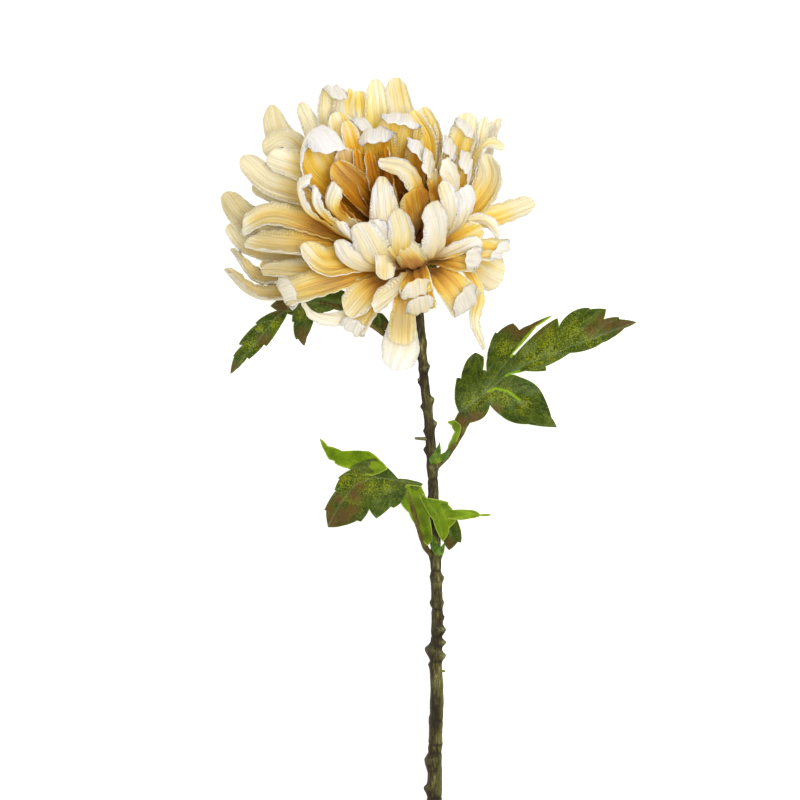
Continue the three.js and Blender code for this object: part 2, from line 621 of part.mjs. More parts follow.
const LEAF_LOWER = {
  stalk: {
    points: [
      [7.9, -149, 25.4], [2.8, -143, 28.6], [0.2, -136, 32], [-3.4, -124, 36.3], [-7, -113.5, 37.7],
      [-14, -109.5, 37.5],
    ],
    thick: 1.5,
    thin: 0.9,
  },
  pieces: [
    {
      // The main blade, bent down to the left.
      rib: [-2, -111, -46, -128],
      start: 38.5,
      end: 24,
      arch: 5,
      droop: 3,
      outline: [
        [1.5, -111], [-1.7, -114.4], [-6, -111.9], [-9.6, -120.5], [-13.2, -123], [-14.5, -122.3],
        [-21.8, -128.4], [-25.3, -123.6], [-29.5, -130], [-31.3, -129.4], [-39, -132.2], [-46, -132.9],
        [-47, -124.5], [-48, -124.3], [-42.2, -114.4], [-42.8, -114], [-40.2, -108.6], [-41.2, -108.3],
        [-34.5, -103.8], [-34.5, -102.5], [-25.5, -98.5], [-21.7, -98.5], [-18.5, -101], [-11, -108.3],
        [-2.6, -109.5],
      ],
    },
    {
      // A lobe turned over at the back, with its underside up.
      rib: [-18, -104, -50.5, -88],
      start: 39,
      end: 22,
      arch: -1,
      outline: [
        [-50.5, -88], [-46.3, -92], [-39, -94.6], [-25.5, -94.6], [-20.2, -98.8], [-16, -103.5], [-24, -107],
        [-34.5, -104], [-36.5, -103.2], [-42.5, -101], [-43, -99.6], [-45.6, -98.8], [-47.5, -95.5],
      ],
    },
    {
      // The wings along the stalk.
      rib: [-6.5, -112, 5, -142],
      start: 38.6,
      end: 30.5,
      arch: 0.5,
      outline: [
        [-7, -111.4], [0.5, -112], [3.4, -119.5], [5, -128.5], [6.3, -139.5], [3.6, -142], [1, -139],
        [-2.6, -131], [-5.5, -125.5], [-9.6, -120.8],
      ],
    },
    {
      // The lobe folded forwards over the stem, with its underside up.
      rib: [3, -119, 15, -138],
      start: 37.5,
      end: 33.5,
      arch: 1,
      outline: [
        [-1, -114], [3.2, -118], [14.3, -120.1], [14.3, -121.4], [16.2, -123.6], [18.5, -128.7],
        [14.6, -133.2],
        [14.6, -135.1], [11.5, -139.9], [10.2, -138.3], [6.5, -129], [1.5, -121],
      ],
    },
    {
      // The lobe behind it, past the stem.
      rib: [15, -125, 17, -144],
      start: 35.6,
      end: 24,
      arch: 1,
      outline: [
        [13.6, -123], [17.6, -127], [20.7, -135.1], [20.7, -140.5], [19, -140.2], [14.6, -144.4],
        [12, -140.5], [12.6, -130],
      ],
    },
    {
      // The narrow lobe that points to the right.
      rib: [14, -124.5, 35.5, -126.5],
      start: 36,
      end: 34,
      arch: 2,
      outline: [
        [13, -122.4], [16.5, -124], [27.4, -124.3], [30.2, -126.2], [35.5, -126.2], [35.4, -126.9],
        [30, -127.2],
        [24.8, -128.4], [18.8, -129], [13.5, -128],
      ],
    },
  ],
};

const LEAF_UPPER = {
  stalk: {
    points: [
      [1.2, -47, 37], [-3.4, -44, 37.4], [-9, -40.5, 37.4], [-16, -37, 37], [-24, -31.5, 36],
      [-36, -24, 34.5], [-50, -20, 33],
    ],
    thick: 1.8,
    thin: 1,
  },
  pieces: [
    {
      // The middle of the blade, behind the petals.
      rib: [-30, -25, -66, -20],
      start: 35.5,
      end: 31.5,
      arch: 0,
      droop: 3,
      outline: [
        [-15.5, -30], [-14, -35], [-23, -31.5], [-31, -26.5], [-37, -24.5], [-43, -23.5], [-48, -25],
        [-55, -28],
        [-59, -26], [-64, -26.5], [-70, -24], [-71.5, -21.5], [-66, -17], [-58, -13], [-46, -11.5],
        [-37, -15],
        [-30, -20], [-23, -25.5], [-19, -25.5],
      ],
    },
    {
      // The long lobe out to the left.
      rib: [-62, -20, -95.4, -55.9],
      start: 32.2,
      end: 12,
      arch: 5,
      droop: 6,
      outline: [
        [-60, -19], [-63, -23], [-66.2, -24.5], [-69.3, -30.9], [-76.9, -42], [-78.2, -41.2], [-85.8, -48.5],
        [-86.7, -47.6], [-89.6, -51], [-92.5, -53.7], [-95.4, -55.9], [-93.4, -47], [-93.9, -46.7],
        [-89, -41.5],
        [-91, -40.9], [-87.2, -35.8], [-81.8, -30.9], [-82.7, -30.5], [-78.2, -26.9], [-71, -24],
        [-65.7, -19.5],
      ],
    },
    {
      // The lobe that hangs beside it.
      rib: [-57, -22, -58.1, -41.8],
      start: 32.2,
      end: 22,
      arch: 2,
      droop: 8,
      outline: [
        [-62.5, -21], [-64.2, -29.5], [-63.2, -30], [-63.4, -34], [-62.2, -38.5], [-61.2, -38.2],
        [-58.1, -41.8],
        [-56.8, -37.5], [-53.2, -28.7], [-51, -22],
      ],
    },
    {
      // The small lobe that shows under the lowest petal.
      rib: [-64, -22, -73.8, -21.3],
      start: 32.4,
      end: 33,
      outline: [[-75, -21.8], [-68, -16.6], [-62, -17], [-62, -24], [-70.6, -24.6]],
    },
  ],
};

function leaf(name, { stalk: { points, thick, thin }, pieces }) {
  const solid = fuse([stalk(points, thick, thin), ...pieces.map(leafPiece)]);
  return toMesh(solid.subtract(stemTube(GAP)), name, LEAF_GREEN);
}

// Young leaflets in the crook of a leaf stalk, each as its root, its tip and its width.
const SPROUTS = {
  sprout_upper: {
    beside: LEAF_RIGHT,
    leaflets: [
      [[6.4, -101.6, 32.6], [8.8, -93, 38], 6.5],
      [[7.6, -98.6, 34], [10, -90, 40.5], 3.6],
      [[8.6, -99.8, 34.5], [15.4, -94, 36], 4],
    ],
  },
  sprout_lower: {
    beside: LEAF_LOWER,
    leaflets: [
      [[8, -147.5, 27.6], [12.6, -140.5, 33.6], 4.4],
      [[8, -146.5, 28], [6.6, -136.5, 35], 4.4],
    ],
  },
};

function sprout(name, { beside, leaflets }) {
  const made = leaflets.map(([root, tip, width]) => {
    const from = spot(root);
    const to = spot(tip);
    const along = to.clone().sub(from).normalize();
    const across = new THREE.Vector3(0, 0, 1).cross(along).normalize();
    const normal = new THREE.Vector3().crossVectors(along, across);
    const shape = [0.45, 1, 0.8, 0.15];
    const place = (i, j) => ({
      point: from
        .clone()
        .lerp(to, i / 3)
        .addScaledVector(across, ((j * 2 - 1) * width * shape[i]) / 2)
        .addScaledVector(normal, [0, 0.8, 0.8, 0][i]),
      normal,
    });
    return blade(3, 1, place);
  });
  const { points, thick, thin } = beside.stalk;
  const room = stemTube(GAP).add(stalk(points, thick + GAP, thin + GAP));
  return toMesh(fuse(made).subtract(room), name, YOUNG_GREEN);
}

const chrysanthemum = new THREE.Group();
chrysanthemum.add(bloom());
chrysanthemum.add(calyx());
chrysanthemum.add(stem());
chrysanthemum.add(leaf("leaf_right", LEAF_RIGHT));
chrysanthemum.add(leaf("leaf_lower", LEAF_LOWER));
chrysanthemum.add(leaf("leaf_upper", LEAF_UPPER));
for (const [name, parts] of Object.entries(SPROUTS)) {
  chrysanthemum.add(sprout(name, parts));
}

export default chrysanthemum;
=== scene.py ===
"""A cut chrysanthemum laid on a pale surface: a cream bloom, lobed leaves and a knobbly stem.

The sizes are in millimetres, as in the part, and the meshes are written in metres.
"""

import math
import random

import bpy
import numpy as np
from mathutils import Matrix, Vector, noise
from mathutils.geometry import delaunay_2d_cdt

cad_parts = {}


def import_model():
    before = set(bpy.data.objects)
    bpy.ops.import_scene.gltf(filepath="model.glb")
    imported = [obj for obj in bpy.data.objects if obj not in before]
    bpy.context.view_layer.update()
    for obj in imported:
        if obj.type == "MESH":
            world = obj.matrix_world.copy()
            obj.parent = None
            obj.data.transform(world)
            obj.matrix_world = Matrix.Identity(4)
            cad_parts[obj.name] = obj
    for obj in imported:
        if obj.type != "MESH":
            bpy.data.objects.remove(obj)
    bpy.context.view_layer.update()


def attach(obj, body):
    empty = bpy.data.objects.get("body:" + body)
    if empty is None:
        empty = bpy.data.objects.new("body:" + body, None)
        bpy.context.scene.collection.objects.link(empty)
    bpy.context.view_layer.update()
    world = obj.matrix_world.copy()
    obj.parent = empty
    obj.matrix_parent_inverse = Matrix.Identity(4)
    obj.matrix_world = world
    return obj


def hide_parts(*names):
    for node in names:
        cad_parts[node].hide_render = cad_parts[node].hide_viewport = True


MM = 0.001
ROOT = "root"

# The bloom, as in the part.
BLADE = 0.8
GAP = 0.3
HEAD = np.array([-8.5, 326.5, 52.0])  # where the petals meet
AXIS = np.array([-0.32, 0.64, 0.7])  # the way the bloom faces
AXIS /= np.linalg.norm(AXIS)
FRONT = np.array([0.0, 0.0, 1.0]) - AXIS[2] * AXIS
FRONT /= np.linalg.norm(FRONT)
SIDE = np.cross(AXIS, FRONT)
RECEPTACLE = HEAD + np.array([-1.5, 0.0, 0.0])
CORE_RADIUS = 12
CORE_LOW = -2.5
CORE_HIGH = 18
CALYX_RADIUS = 8.6
CALYX_LENGTH = 8

# The calyx is drawn up from a thin disc through these radii, each at its share of the height.
CALYX_FOOT = 3.4
CALYX_DISC = 0.4
CALYX_PROFILE = [
    (4.9, 0.2), (6.4, 0.38), (7.7, 0.6), (CALYX_RADIUS, 0.8), (CALYX_RADIUS - 0.1, 0.92),
    (CALYX_RADIUS - 0.7, 1),
]

# Rows of bracts: the height of their feet and tips as a share of the calyx, the radii there, and how many.
BRACTS = [(0.1, 0.62, 4.2, 7.35, 9), (0.3, 0.84, 5.6, 8.85, 11), (0.5, 1.04, 7.1, 9.25, 12)]
BRACT_WIDTH = 4.4
BRACT_THICKNESS = 0.45

# The buds on the receptacle that haven't opened.
BUDS = 46
BUD_RADIUS = 1.1
BUD_STRETCH = 1.9
GOLDEN_ANGLE = 2.39996

ROWS = [(0, 9), (4, 8.5), (8, 7), (12, 5), (14, 3)]  # height along the axis and radius of the roots

# Petals set one by one, as in the part: row, width, how far the edges rise, twist in degrees, how pointed the
# tip is, and the points of the midline from the head.
PETALS = [
    # Underneath, bent flat where the bloom rests on the surface.
    [0, 15, 0, 0, 0, [-38, 26, -34], [-56, 40, -52.5], [-68, 50, -52.5]],
    [0, 15, 0, 0, 0, [-16, 36, -34], [-26, 56, -52.5], [-33, 72, -52.5]],
    [0, 15, 0, 0, 0, [6, 34, -34], [18, 54, -52.5], [23, 64, -52.5]],
    # Outside on the left, from the leaves upwards.
    [0, 13, 0.8, 10, 0.8, [-50, -11, 0], [-80, -16, 0], [-97, -3, 4]],
    [0, 13, 0.8, 10, 0.8, [-55, -4, 0], [-80, -8, -4], [-94, 7, 0]],
    [1, 14, 0.5, -15, 0.4, [-50, -4, 16], [-79, -4.5, 18]],
    [1, 20, 0.4, -15, 0, [-35, -8, 26], [-57, -14, 33], [-68, -17, 32], [-61, -14.5, 39]],
    [1, 20, 0.6, 0, 0.3, [-50, 7, 24], [-72, 8, 32], [-87, 10, 30]],
    [0, 17, 0.4, 0, 0.3, [-60, 4, -8], [-86, 8, -6], [-96, 19, -8]],
    [1, 16, 0.5, 0, 0, [-56, 18, 22], [-76, 22, 27], [-89, 15, 22]],
    [0, 18, 0.3, -30, 0.3, [-55, 14, 0], [-85, 20, -2], [-98, 34, 4]],
    [0, 15.5, 0.3, 0, 0.3, [-50, 26, -4], [-84, 38, -6]],
    [1, 16, 0.5, -25, 0.3, [-50, 32, 14], [-75, 40, 16], [-89, 52, 16]],
    [1, 17, 0.4, 0, 0, [-50, 42, 20], [-76, 52, 22]],
    [0, 14, 0.4, -25, 0, [-50, 42, 5], [-67, 60, 6], [-78, 54, 6]],
    [0, 20, 0.3, -20, 0.6, [-44, 38, -6], [-63, 54, -8], [-71.5, 66, -9], [-74.5, 79, -10]],
    # Outside at the top.
    [0, 13, 0.3, -15, 0.5, [-42, 44, -10], [-60, 80, -10]],
    [1, 13.5, 0.3, 0, 0, [-38, 48, -4], [-45, 74, -2], [-43, 87, 6], [-39, 80, 14]],
    [1, 13, 0.4, 0, 0, [-32, 48, 2], [-38, 76, 2], [-36, 86, 8]],
    [0, 12, 0.3, 0, 0, [-25, 48, -8], [-31, 86, -12]],
    [1, 15, 0.4, 0, 0.4, [-18, 50, 0], [-22.5, 91.5, 0]],
    [0, 17, 0.3, 0, 0.3, [-6, 50, -4], [-13, 92.5, -8]],
    [1, 8.5, 0.6, 30, 0, [4, 36, 6], [7, 64, 10], [1.5, 76.5, 14]],
    [2, 9, 0.6, 30, 0, [2, 36, 10], [4, 60, 16], [-4, 74.5, 20]],
    # Outside on the right, from the top down.
    [1, 18, 0.3, 0, 0, [16, 34, 1], [20.5, 56, 5], [24, 67, 8], [22, 62.5, 14]],
    [0, 15, 0.3, 20, 0, [20, 44, -8], [24, 75, -8]],
    [0, 12, 0.3, 20, 0.6, [24, 40, -12], [33, 73, -14]],
    [0, 9, 0.3, 20, 0.3, [28, 38, -18], [37, 70, -20]],
    [2, 13, 0.4, -20, 0, [15, 36, 12], [16, 58, 20], [14, 50.5, 30]],
    [1, 13, 0.4, -35, 0.4, [22, 32, 6], [33, 58, 14], [42, 56, 18]],
    [2, 13, 0.4, 0, 0.4, [17, 28, 18], [22.5, 41, 28], [24, 51, 33], [21.5, 43, 41]],
    [1, 18, 0.4, 30, 0, [24, 24, 8], [34.5, 41, 16], [32.5, 53, 20]],
    [0, 12.5, 0.3, 20, 0, [22, 18, 4], [42, 24, 6], [57, 29.5, 10]],
    [1, 9, 0.4, -110, 0, [18, 18, 26], [32, 20, 30], [40, 12, 32]],
    [1, 17, 0.3, 60, 0.2, [14, 8, 26], [31, 16, 32]],
    [1, 9, 0.4, -100, 0, [14, 4, 30], [30.5, 10, 38]],
    [0, 15.5, 0.3, 0, 0, [22, 3, 18], [32, 5, 24], [41, 4.5, 27], [35.5, 4.5, 34]],
    [1, 14, 0.3, 0, 0, [15, 0, 26], [24, -1, 32], [29, 0, 34], [22, 1, 40]],
    [0, 18, 0.3, 45, -0.2, [24, 0, 2], [42, -9, -8]],
    # Hanging in front of the stem.
    [0, 7.5, 0.5, 0, 0.7, [22, -4, 8], [29, -16, 8], [27, -30, 8], [32, -44, 6]],
    [0, 18, 0.3, 0, -0.2, [10, -7, 25], [17, -14, 31], [24, -22.5, 31], [21, -13.5, 39]],
    [1, 15, 0.3, 0, -0.2, [-1, -8, 26], [0, -18, 32], [1, -25, 32], [0, -17, 39]],
    [1, 16, 0.3, 0, -0.2, [-3, -6, 36], [-2, -12, 42], [-1, -17, 42], [-2, -9, 49]],
    [1, 11.5, 0.3, 0, -0.8, [-7.5, -14, 24], [-8.5, -30, 30], [-9, -41.5, 31]],
    [0, 15.5, 0.2, 200, -0.7, [-7, -14, 18], [-9, -38, 24], [-12, -54.5, 24]],
    [1, 14, 0.5, 80, 0, [-12, -14, 38], [-24, -24, 44]],
    [1, 17, 0.4, -20, 0, [-25, -14, 30], [-36, -27, 34]],
    [0, 14, 0.3, 0, -0.2, [-24, -22, 18], [-30, -30, 24], [-34, -35, 24], [-31, -29, 31]],
    [0, 7.5, 0.5, 200, 0.5, [-28, -24, 18], [-44, -29, 20], [-54, -26, 22], [-59, -19, 24]],
    [1, 17, 0.6, -60, 0.3, [-35, 0, 34], [-48, -1, 40], [-58, 8, 44]],
    # Left of the heart.
    [2, 12, 0.5, 0, 0.3, [-44, 18, 36], [-57, 28, 46], [-59, 38, 50], [-53, 41, 55]],
    [2, 12, 0.6, 0, 0.2, [-40, 18, 42], [-51, 28, 52], [-51, 37, 56]],
    [2, 15, 0.5, 0, 0.1, [-34, 18, 46], [-44, 28, 57], [-41, 38, 61]],
    [4, 9, 0.5, 0, 0.5, [-35, 22, 46], [-41, 31, 55], [-38.5, 35.5, 57]],
    [3, 15, 0.4, -80, 0, [-29, 34, 38], [-38, 43, 48], [-42.5, 48, 50]],
    [2, 23, 0.8, -25, 0, [-42, 36, 26], [-53, 50, 34], [-49, 62, 43], [-40, 51.5, 52]],
    [2, 14, 0.4, -30, 0, [-32, 38, 30], [-39, 55, 40]],
    # Behind the heart.
    [3, 14, 0.5, 0, 0, [-33, 46, 16], [-42, 74, 20]],
    [3, 11, 0.7, 0, 0.2, [-28, 42, 26], [-37, 69, 32]],
    [2, 11, 0.5, 0, 0, [-26, 46, 14], [-30, 70, 18], [-25, 64, 26]],
    [4, 9, 0.4, -30, 0.4, [-28, 36, 36], [-32, 55, 40]],
    [4, 9, 0.4, -30, 0.4, [-22, 36, 38], [-26, 54, 42]],
    [4, 9, 0.4, 20, 0.4, [-14, 36, 36], [-17, 56, 42]],
    [2, 22, 0.4, 0, 0, [-10, 44, 10], [-9, 71, 22], [-10, 66, 34]],
    [2, 20, 0.4, 0, 0, [-18, 42, 18], [-22, 64, 28], [-23, 57, 40]],
    [2, 11, 0.4, 0, 0, [6, 36, 30], [5, 51, 46], [3, 41, 57]],
    [2, 17, 0.4, 0, 0, [-2, 40, 24], [0, 55.5, 40], [-1, 49.5, 52]],
    # Right of the heart.
    [2, 14, 0.4, 0, 0.4, [0, 32, 46], [-8, 45, 57], [-21, 48, 58]],
    [2, 14.5, 0.4, -20, 0.1, [14, 24, 34], [17, 38, 46], [11, 49.5, 55]],
    [2, 11, 0.4, -45, 0.3, [13, 17, 42], [14.5, 28, 54], [11, 39, 58]],
    [2, 12, 0.4, -60, 0, [20, 19, 34], [23, 29, 42], [20, 36, 50]],
    [4, 19, 0.4, -20, 0.1, [-2, 24, 45], [-3, 36, 54]],
    # In front of the heart, curved in over it.
    [2, 17, 0.5, 0, 0.5, [-16, 14, 52], [-18, 28, 62], [-19, 41, 60]],
    [2, 15, 0.5, 0, 0.2, [-9, 6, 54], [-9, 14, 62], [-12, 25, 62]],
    [1, 17, 0.5, 0, 0.6, [-3, 0.5, 46], [-8, 6, 55], [-12, 13, 59]],
    [2, 19, 0.5, 0, 0, [-22, 2, 50], [-26, 9, 60], [-31, 18, 60]],
    [2, 14, 0.4, 0, 0, [-16, 5, 54], [-24, 20, 60]],
    [1, 13, 0.3, 150, 0, [-16, 0, 50], [-17, -2, 60], [-16, -9.5, 58]],
    [1, 14, 0.6, 45, 0.3, [-28, -2, 42], [-36, 2, 50], [-41, 10, 50]],
    [2, 9, 0.5, 0, 0, [-32, 10, 46], [-38, 16, 54], [-40, 20, 58]],
    [1, 17.5, 0.5, 0, 0, [8, 8, 49], [8.5, 19, 61], [5.5, 28.5, 61]],
    [3, 12, 0.4, -30, 0, [8, 30, 34], [6, 45, 43]],
]

# Petals set by rule: row, count, first and last angle, length, width, and angle at root and tip.
RINGS = [
    (0, 6, 126, 246, 74, 14, 8, 16),
    (1, 6, 130, 232, 70, 14, 20, 34),
    (2, 5, 132, 226, 62, 14, 38, 58),
    (4, 6, 0, 300, 30, 8, 68, 90),
]

# The cloth of the petals.
PETAL_ROWS = 38
PETAL_COLUMNS = 18
PETAL_THICKNESS = 0.6
TIP_ROUND = 0.45
PLEAT = 0.5  # height of the pleats along a petal
PLEAT_COUNTS = (2.5, 3, 3.5)
CREASE = 0.5  # height of the uneven creases between the pleats
CREASE_SIZE = (2.6, 15)  # across and along a petal
RIPPLE = 0.5  # height of the waves along its edges
RIPPLE_LENGTH = 6.5
FULL_WIDTH = 14  # petals narrower than this have lower pleats
RIB_SPACING = 1.6  # of the fine ribs along a petal
CRIMP_SPACING = 1.8  # of the crimps along its margin
PALING = [1.04, 0.88, 0.82, 0.56, 0.38]  # how far each row pales towards its tips
PALE_MARGIN = 0.24  # how far the dye stops short of the edges
PETAL_ATTRIBUTES = ("dye", "side_mm", "reach_mm", "heart_mm", "margin", "seed", "aged_and_shaded", "amber")
AGED_AND_SHADED = [0.26, 0.14, 0, 0, 0]  # how far each row is beige, partly the cloth's own tone and partly painted shade
AMBER = [0, 0, 0.7, 0.9, 0.9]  # how much redder each row is in the heart
LEFT_PAINTED_SHADE = 0.36  # painted shade: how much more beige the petals on the left are made
LEFT_SIDE = (30, 78)  # how far left of the head that begins, and where it is full
MOST_AGED_AND_SHADED = 0.85  # the most beige and painted shade that any petal gets
OWN_PALING = 0.16  # how much the petals differ from each other
RIDGE_HIGHLIGHT = 0.07  # painted highlight: how much paler a pleat is at its top

# Places, seen from above and measured from the head, where the petals differ from the rule: the place, its
# radius, how much paler they are (below 0, more golden) and how much more beige (below 0, less). Some are
# the cloth's own tone, some are painted shade, as on the dark gap by the heart and the khaki petals low on
# the left, and some are painted light, as on the insides under the hoods.
PETAL_TONES_AND_PAINTED_LIGHT = [
    (-84, 47, 11, 1.1, -0.1), (-85, -2, 6, 0.1, -0.35), (-75, 70, 12, 0.05, 0.15),
    (-70, 56, 7, 0.25, -0.2), (-92, 31, 10, -0.2, 0.45), (-90, 16, 6, 0.3, -0.3),
    (-75, 8, 12, -0.15, 0.25), (-69, 24, 11, 0.05, 0.2), (-57, 5, 5, 0.5, 0), (-32, -19, 9, 0.1, 0.3),
    (28, -36, 8, 0.5, 0.1), (-35, 65, 5, 0.3, 0.1), (-66, -3, 8, 0, 0.15), (-86, -12, 12, -0.45, 0.6),
    (-90, 12, 6, 0.4, 0), (-62, 60, 6, -0.1, 0), (8, 75, 7, -0.15, 0.2), (-46, -12, 9, -0.2, 0.3),
    (-31, 81, 6, -0.45, 0), (-10, 86, 9, -0.3, 0.15), (-54, 13, 9, -0.3, 0), (-22, 83, 8, 0.3, 0),
    (-43, 80, 8, 0.2, 0.15), (-46, 62, 8, 0.3, 0), (-56, 74, 7, 0.3, -0.1), (-41, 72, 5, 0.3, 0),
    (-49, 49, 8, 0.2, 0), (-8, 64, 8, 0.15, 0), (-12, 8, 7, -0.14, 0.08), (-18, 55, 6, -0.25, 0),
    (-38, 44, 6, -0.1, 0.3), (-36, 26, 5, -0.9, -0.2), (-28, 50, 12, 0.12, 0), (-46, 21, 7, -0.4, 0),
    (20, 58, 8, -0.1, 0), (35, 43, 13, 0.2, 0.3), (56, 29, 7, 0.9, 0.2), (46, 26, 8, 0, 0.2),
    (20, 31, 6, 0.25, 0), (5, 35, 6, -0.5, 0), (6, 19, 8, 0, 0.15), (33, -8, 10, 0.3, 0.15),
    (24, 0, 5, 0, 0.3), (22, -20, 8, 0, 0.25), (14, -10, 8, -0.25, 0.1), (-4, 29, 9, -0.3, 0),
    (-15.5, 42, 4, -0.5, 0), (-7, 0, 7, -0.4, 0), (-2.5, -5, 6, -0.6, 0), (-19, -5.5, 5, -0.4, 0.2),
    (-25, 11, 10, 0, 0.1), (-22, -15, 7, -0.35, 0), (-9, -30, 11, -0.1, 0.65), (-31, -32, 8, 0, 0.15),
]
GOLDEN_REACH = (26, 62)  # how far from the heart the extra gold begins to fade, and where it is gone
DEEP_START = 14.0  # how far from the heart its deepest colour begins to fade; that colour is partly the amber of the heart and partly painted shade
HEART_TINT = "#CC8800"
HEART_SQUASH = 0.35  # the amber of the heart reaches further along the axis than out from it

# The stem, as in the part.
STEM_POINTS = [
    [8.5, -328.7, 3.4], [7.6, -290, 8.6], [7.6, -250, 13.4], [8.6, -218, 17.2], [8, -199, 19.4],
    [8.8, -180, 21.6], [8, -150, 25.1], [7, -120, 28.6], [6, -100, 30.9], [4.3, -78, 33.5], [2, -58, 35.8],
    [0.8, -38, 37.8], [0, -20, 40.6],
]
STEM_RADII = [4.3, 4.2, 4.1, 3.5, 3.4, 3.2, 2.9, 2.8, 2.7, 2.6, 2.4, 2.3, 2.1, 2.8]

# Knobs, leaf scars and stubs on the bark: the distance up the stem from its cut end, the side that they
# are on in degrees (0 is right, 90 is up), their height and half their length. They end more steeply on
# the side of the bloom.
KNOBS = [
    [18, 150, 1, 5], [40, 30, 0.9, 4], [65, 175, 2, 2.6], [79, 175, 2, 4.2], [80, 95, 0.8, 3],
    [87.5, 0, 0.6, 1.6], [100, 190, 0.5, 2], [128, 180, 1, 1.6], [132.5, 5, 2.3, 2.6],
    [135.5, 180, 2.6, 3.6], [135, 80, 0.8, 3], [139.5, 8, 2.2, 2], [146, 10, 1.5, 2.4], [146, 70, 0.8, 2],
    [152, 5, 0.8, 1.6], [159.5, 170, 0.9, 2], [159.5, 40, 0.9, 2], [159.5, 300, 0.8, 2],
    [172, 0, 1.3, 2.2], [172.5, 180, 0.5, 2.2], [184, 20, 1, 2.4], [184, 170, 0.8, 2.4], [200, 20, 0.8, 3],
    [212, 200, 0.6, 2.4], [229, 5, 1.4, 2.6], [228, 100, 0.8, 3], [237, 185, 1.3, 2.2],
    [246.5, 182, 1.1, 1.8], [250, 5, 1.9, 2.4], [259, 182, 1.2, 1.8], [262, 6, 1.8, 2.8],
    [271.5, 182, 1.1, 1.8], [278, 90, 1, 2.4], [279, 5, 1.2, 2.6], [284.5, 182, 1.4, 2], [291, 20, 0.5, 3],
]

# Stubs of side shoots that were cut off: where they start and end, and their radius.
STUBS = [
    ((3.5, -88.5, 33), (-2.6, -88.2, 34.5), 1.0),
    ((2, -59.5, 36), (-1.2, -58.6, 37), 0.9),
    ((8.5, -205, 19), (12.8, -205.4, 20.4), 0.9),
]
STEEPER = 1.9
STUB_TAPER = 0.35
STUB_SCAR = 0.7  # how pale the stubs are
GROOVES = [60, 83, 87, 99.5, 129.5, 142, 156, 175.5, 187, 222, 275]  # dark rings up the stem
GROOVE_WIDTH = 0.8
GROOVE_DEPTH = 0.28
LIT_SIDE = 55  # the side of the stem that the painted shade on its flanks leaves palest, in degrees as above
STEM_SIDES = 40
STEM_STATIONS = 420
BARK_ATTRIBUTES = ("cut", "scar", "groove", "shaded_flank", "greened")
GREENED_LENGTH = 128  # the right side of the bark is greener up to here
GREENED_TINT = "#6A6E36"

# The leaves, as in the part: outlines seen from above and measured from the head.
LEAF_RIGHT = dict(
    stalk=dict(points=[
        [7, -103, 30.6], [12.4, -98, 31.6], [16.4, -92.5, 32.2], [20.2, -86.5, 32.6], [25, -78, 33.5],
        [36, -64, 36.1],
    ], thick=1.9, thin=0.9),
    pieces=[
        dict(rib=[16, -83, 108.5, -30], start=33, end=40, arch=4, droop=7, outline=[
            [16, -83], [19.5, -75], [17.5, -68.5], [18.5, -58], [20.8, -58.2], [21.8, -53.3], [24.5, -48],
            [28, -45.2], [32, -47.5], [31.5, -54], [33.5, -54.5], [33.8, -48], [35, -42], [38, -35],
            [39, -35.5], [42.5, -32.5], [46.8, -30.5], [50, -34], [55, -31.5], [66.5, -26.5], [58.5, -32],
            [46.2, -46], [47.5, -46.6], [60.5, -33.5], [69, -28], [69.5, -32.5], [73.5, -27],
            [78.5, -23.8], [84.5, -22.8], [85.5, -23.6], [93.2, -23.5], [92, -28.5], [99.4, -27.4],
            [100, -28.6], [108.5, -30], [102.5, -33], [96, -38], [91.3, -40.3], [84.5, -43.8], [75, -45.5],
            [74, -46.2], [62.9, -52.2], [63.2, -54.4], [52.7, -54.4], [44.3, -56], [50, -57.5],
            [57.5, -61], [61.5, -66], [66, -77.8], [68.8, -82.7], [54, -81], [47, -80.3], [40.8, -77],
            [35, -71.5], [33.5, -75.8], [31, -78.5], [24.5, -80.5], [21.8, -82.4],
        ]),
        # The wing beside the stalk, with its underside up.
        dict(rib=[17, -80, 14.5, -96], start=35.2, end=32.8, outline=[
            [13.5, -80], [17, -79], [20.5, -81.5], [20.5, -84], [19, -88.5], [15.5, -94.5], [13.2, -97],
            [13.8, -93], [15.8, -88.5], [17.4, -85], [15.8, -81.8],
        ]),
    ],
)

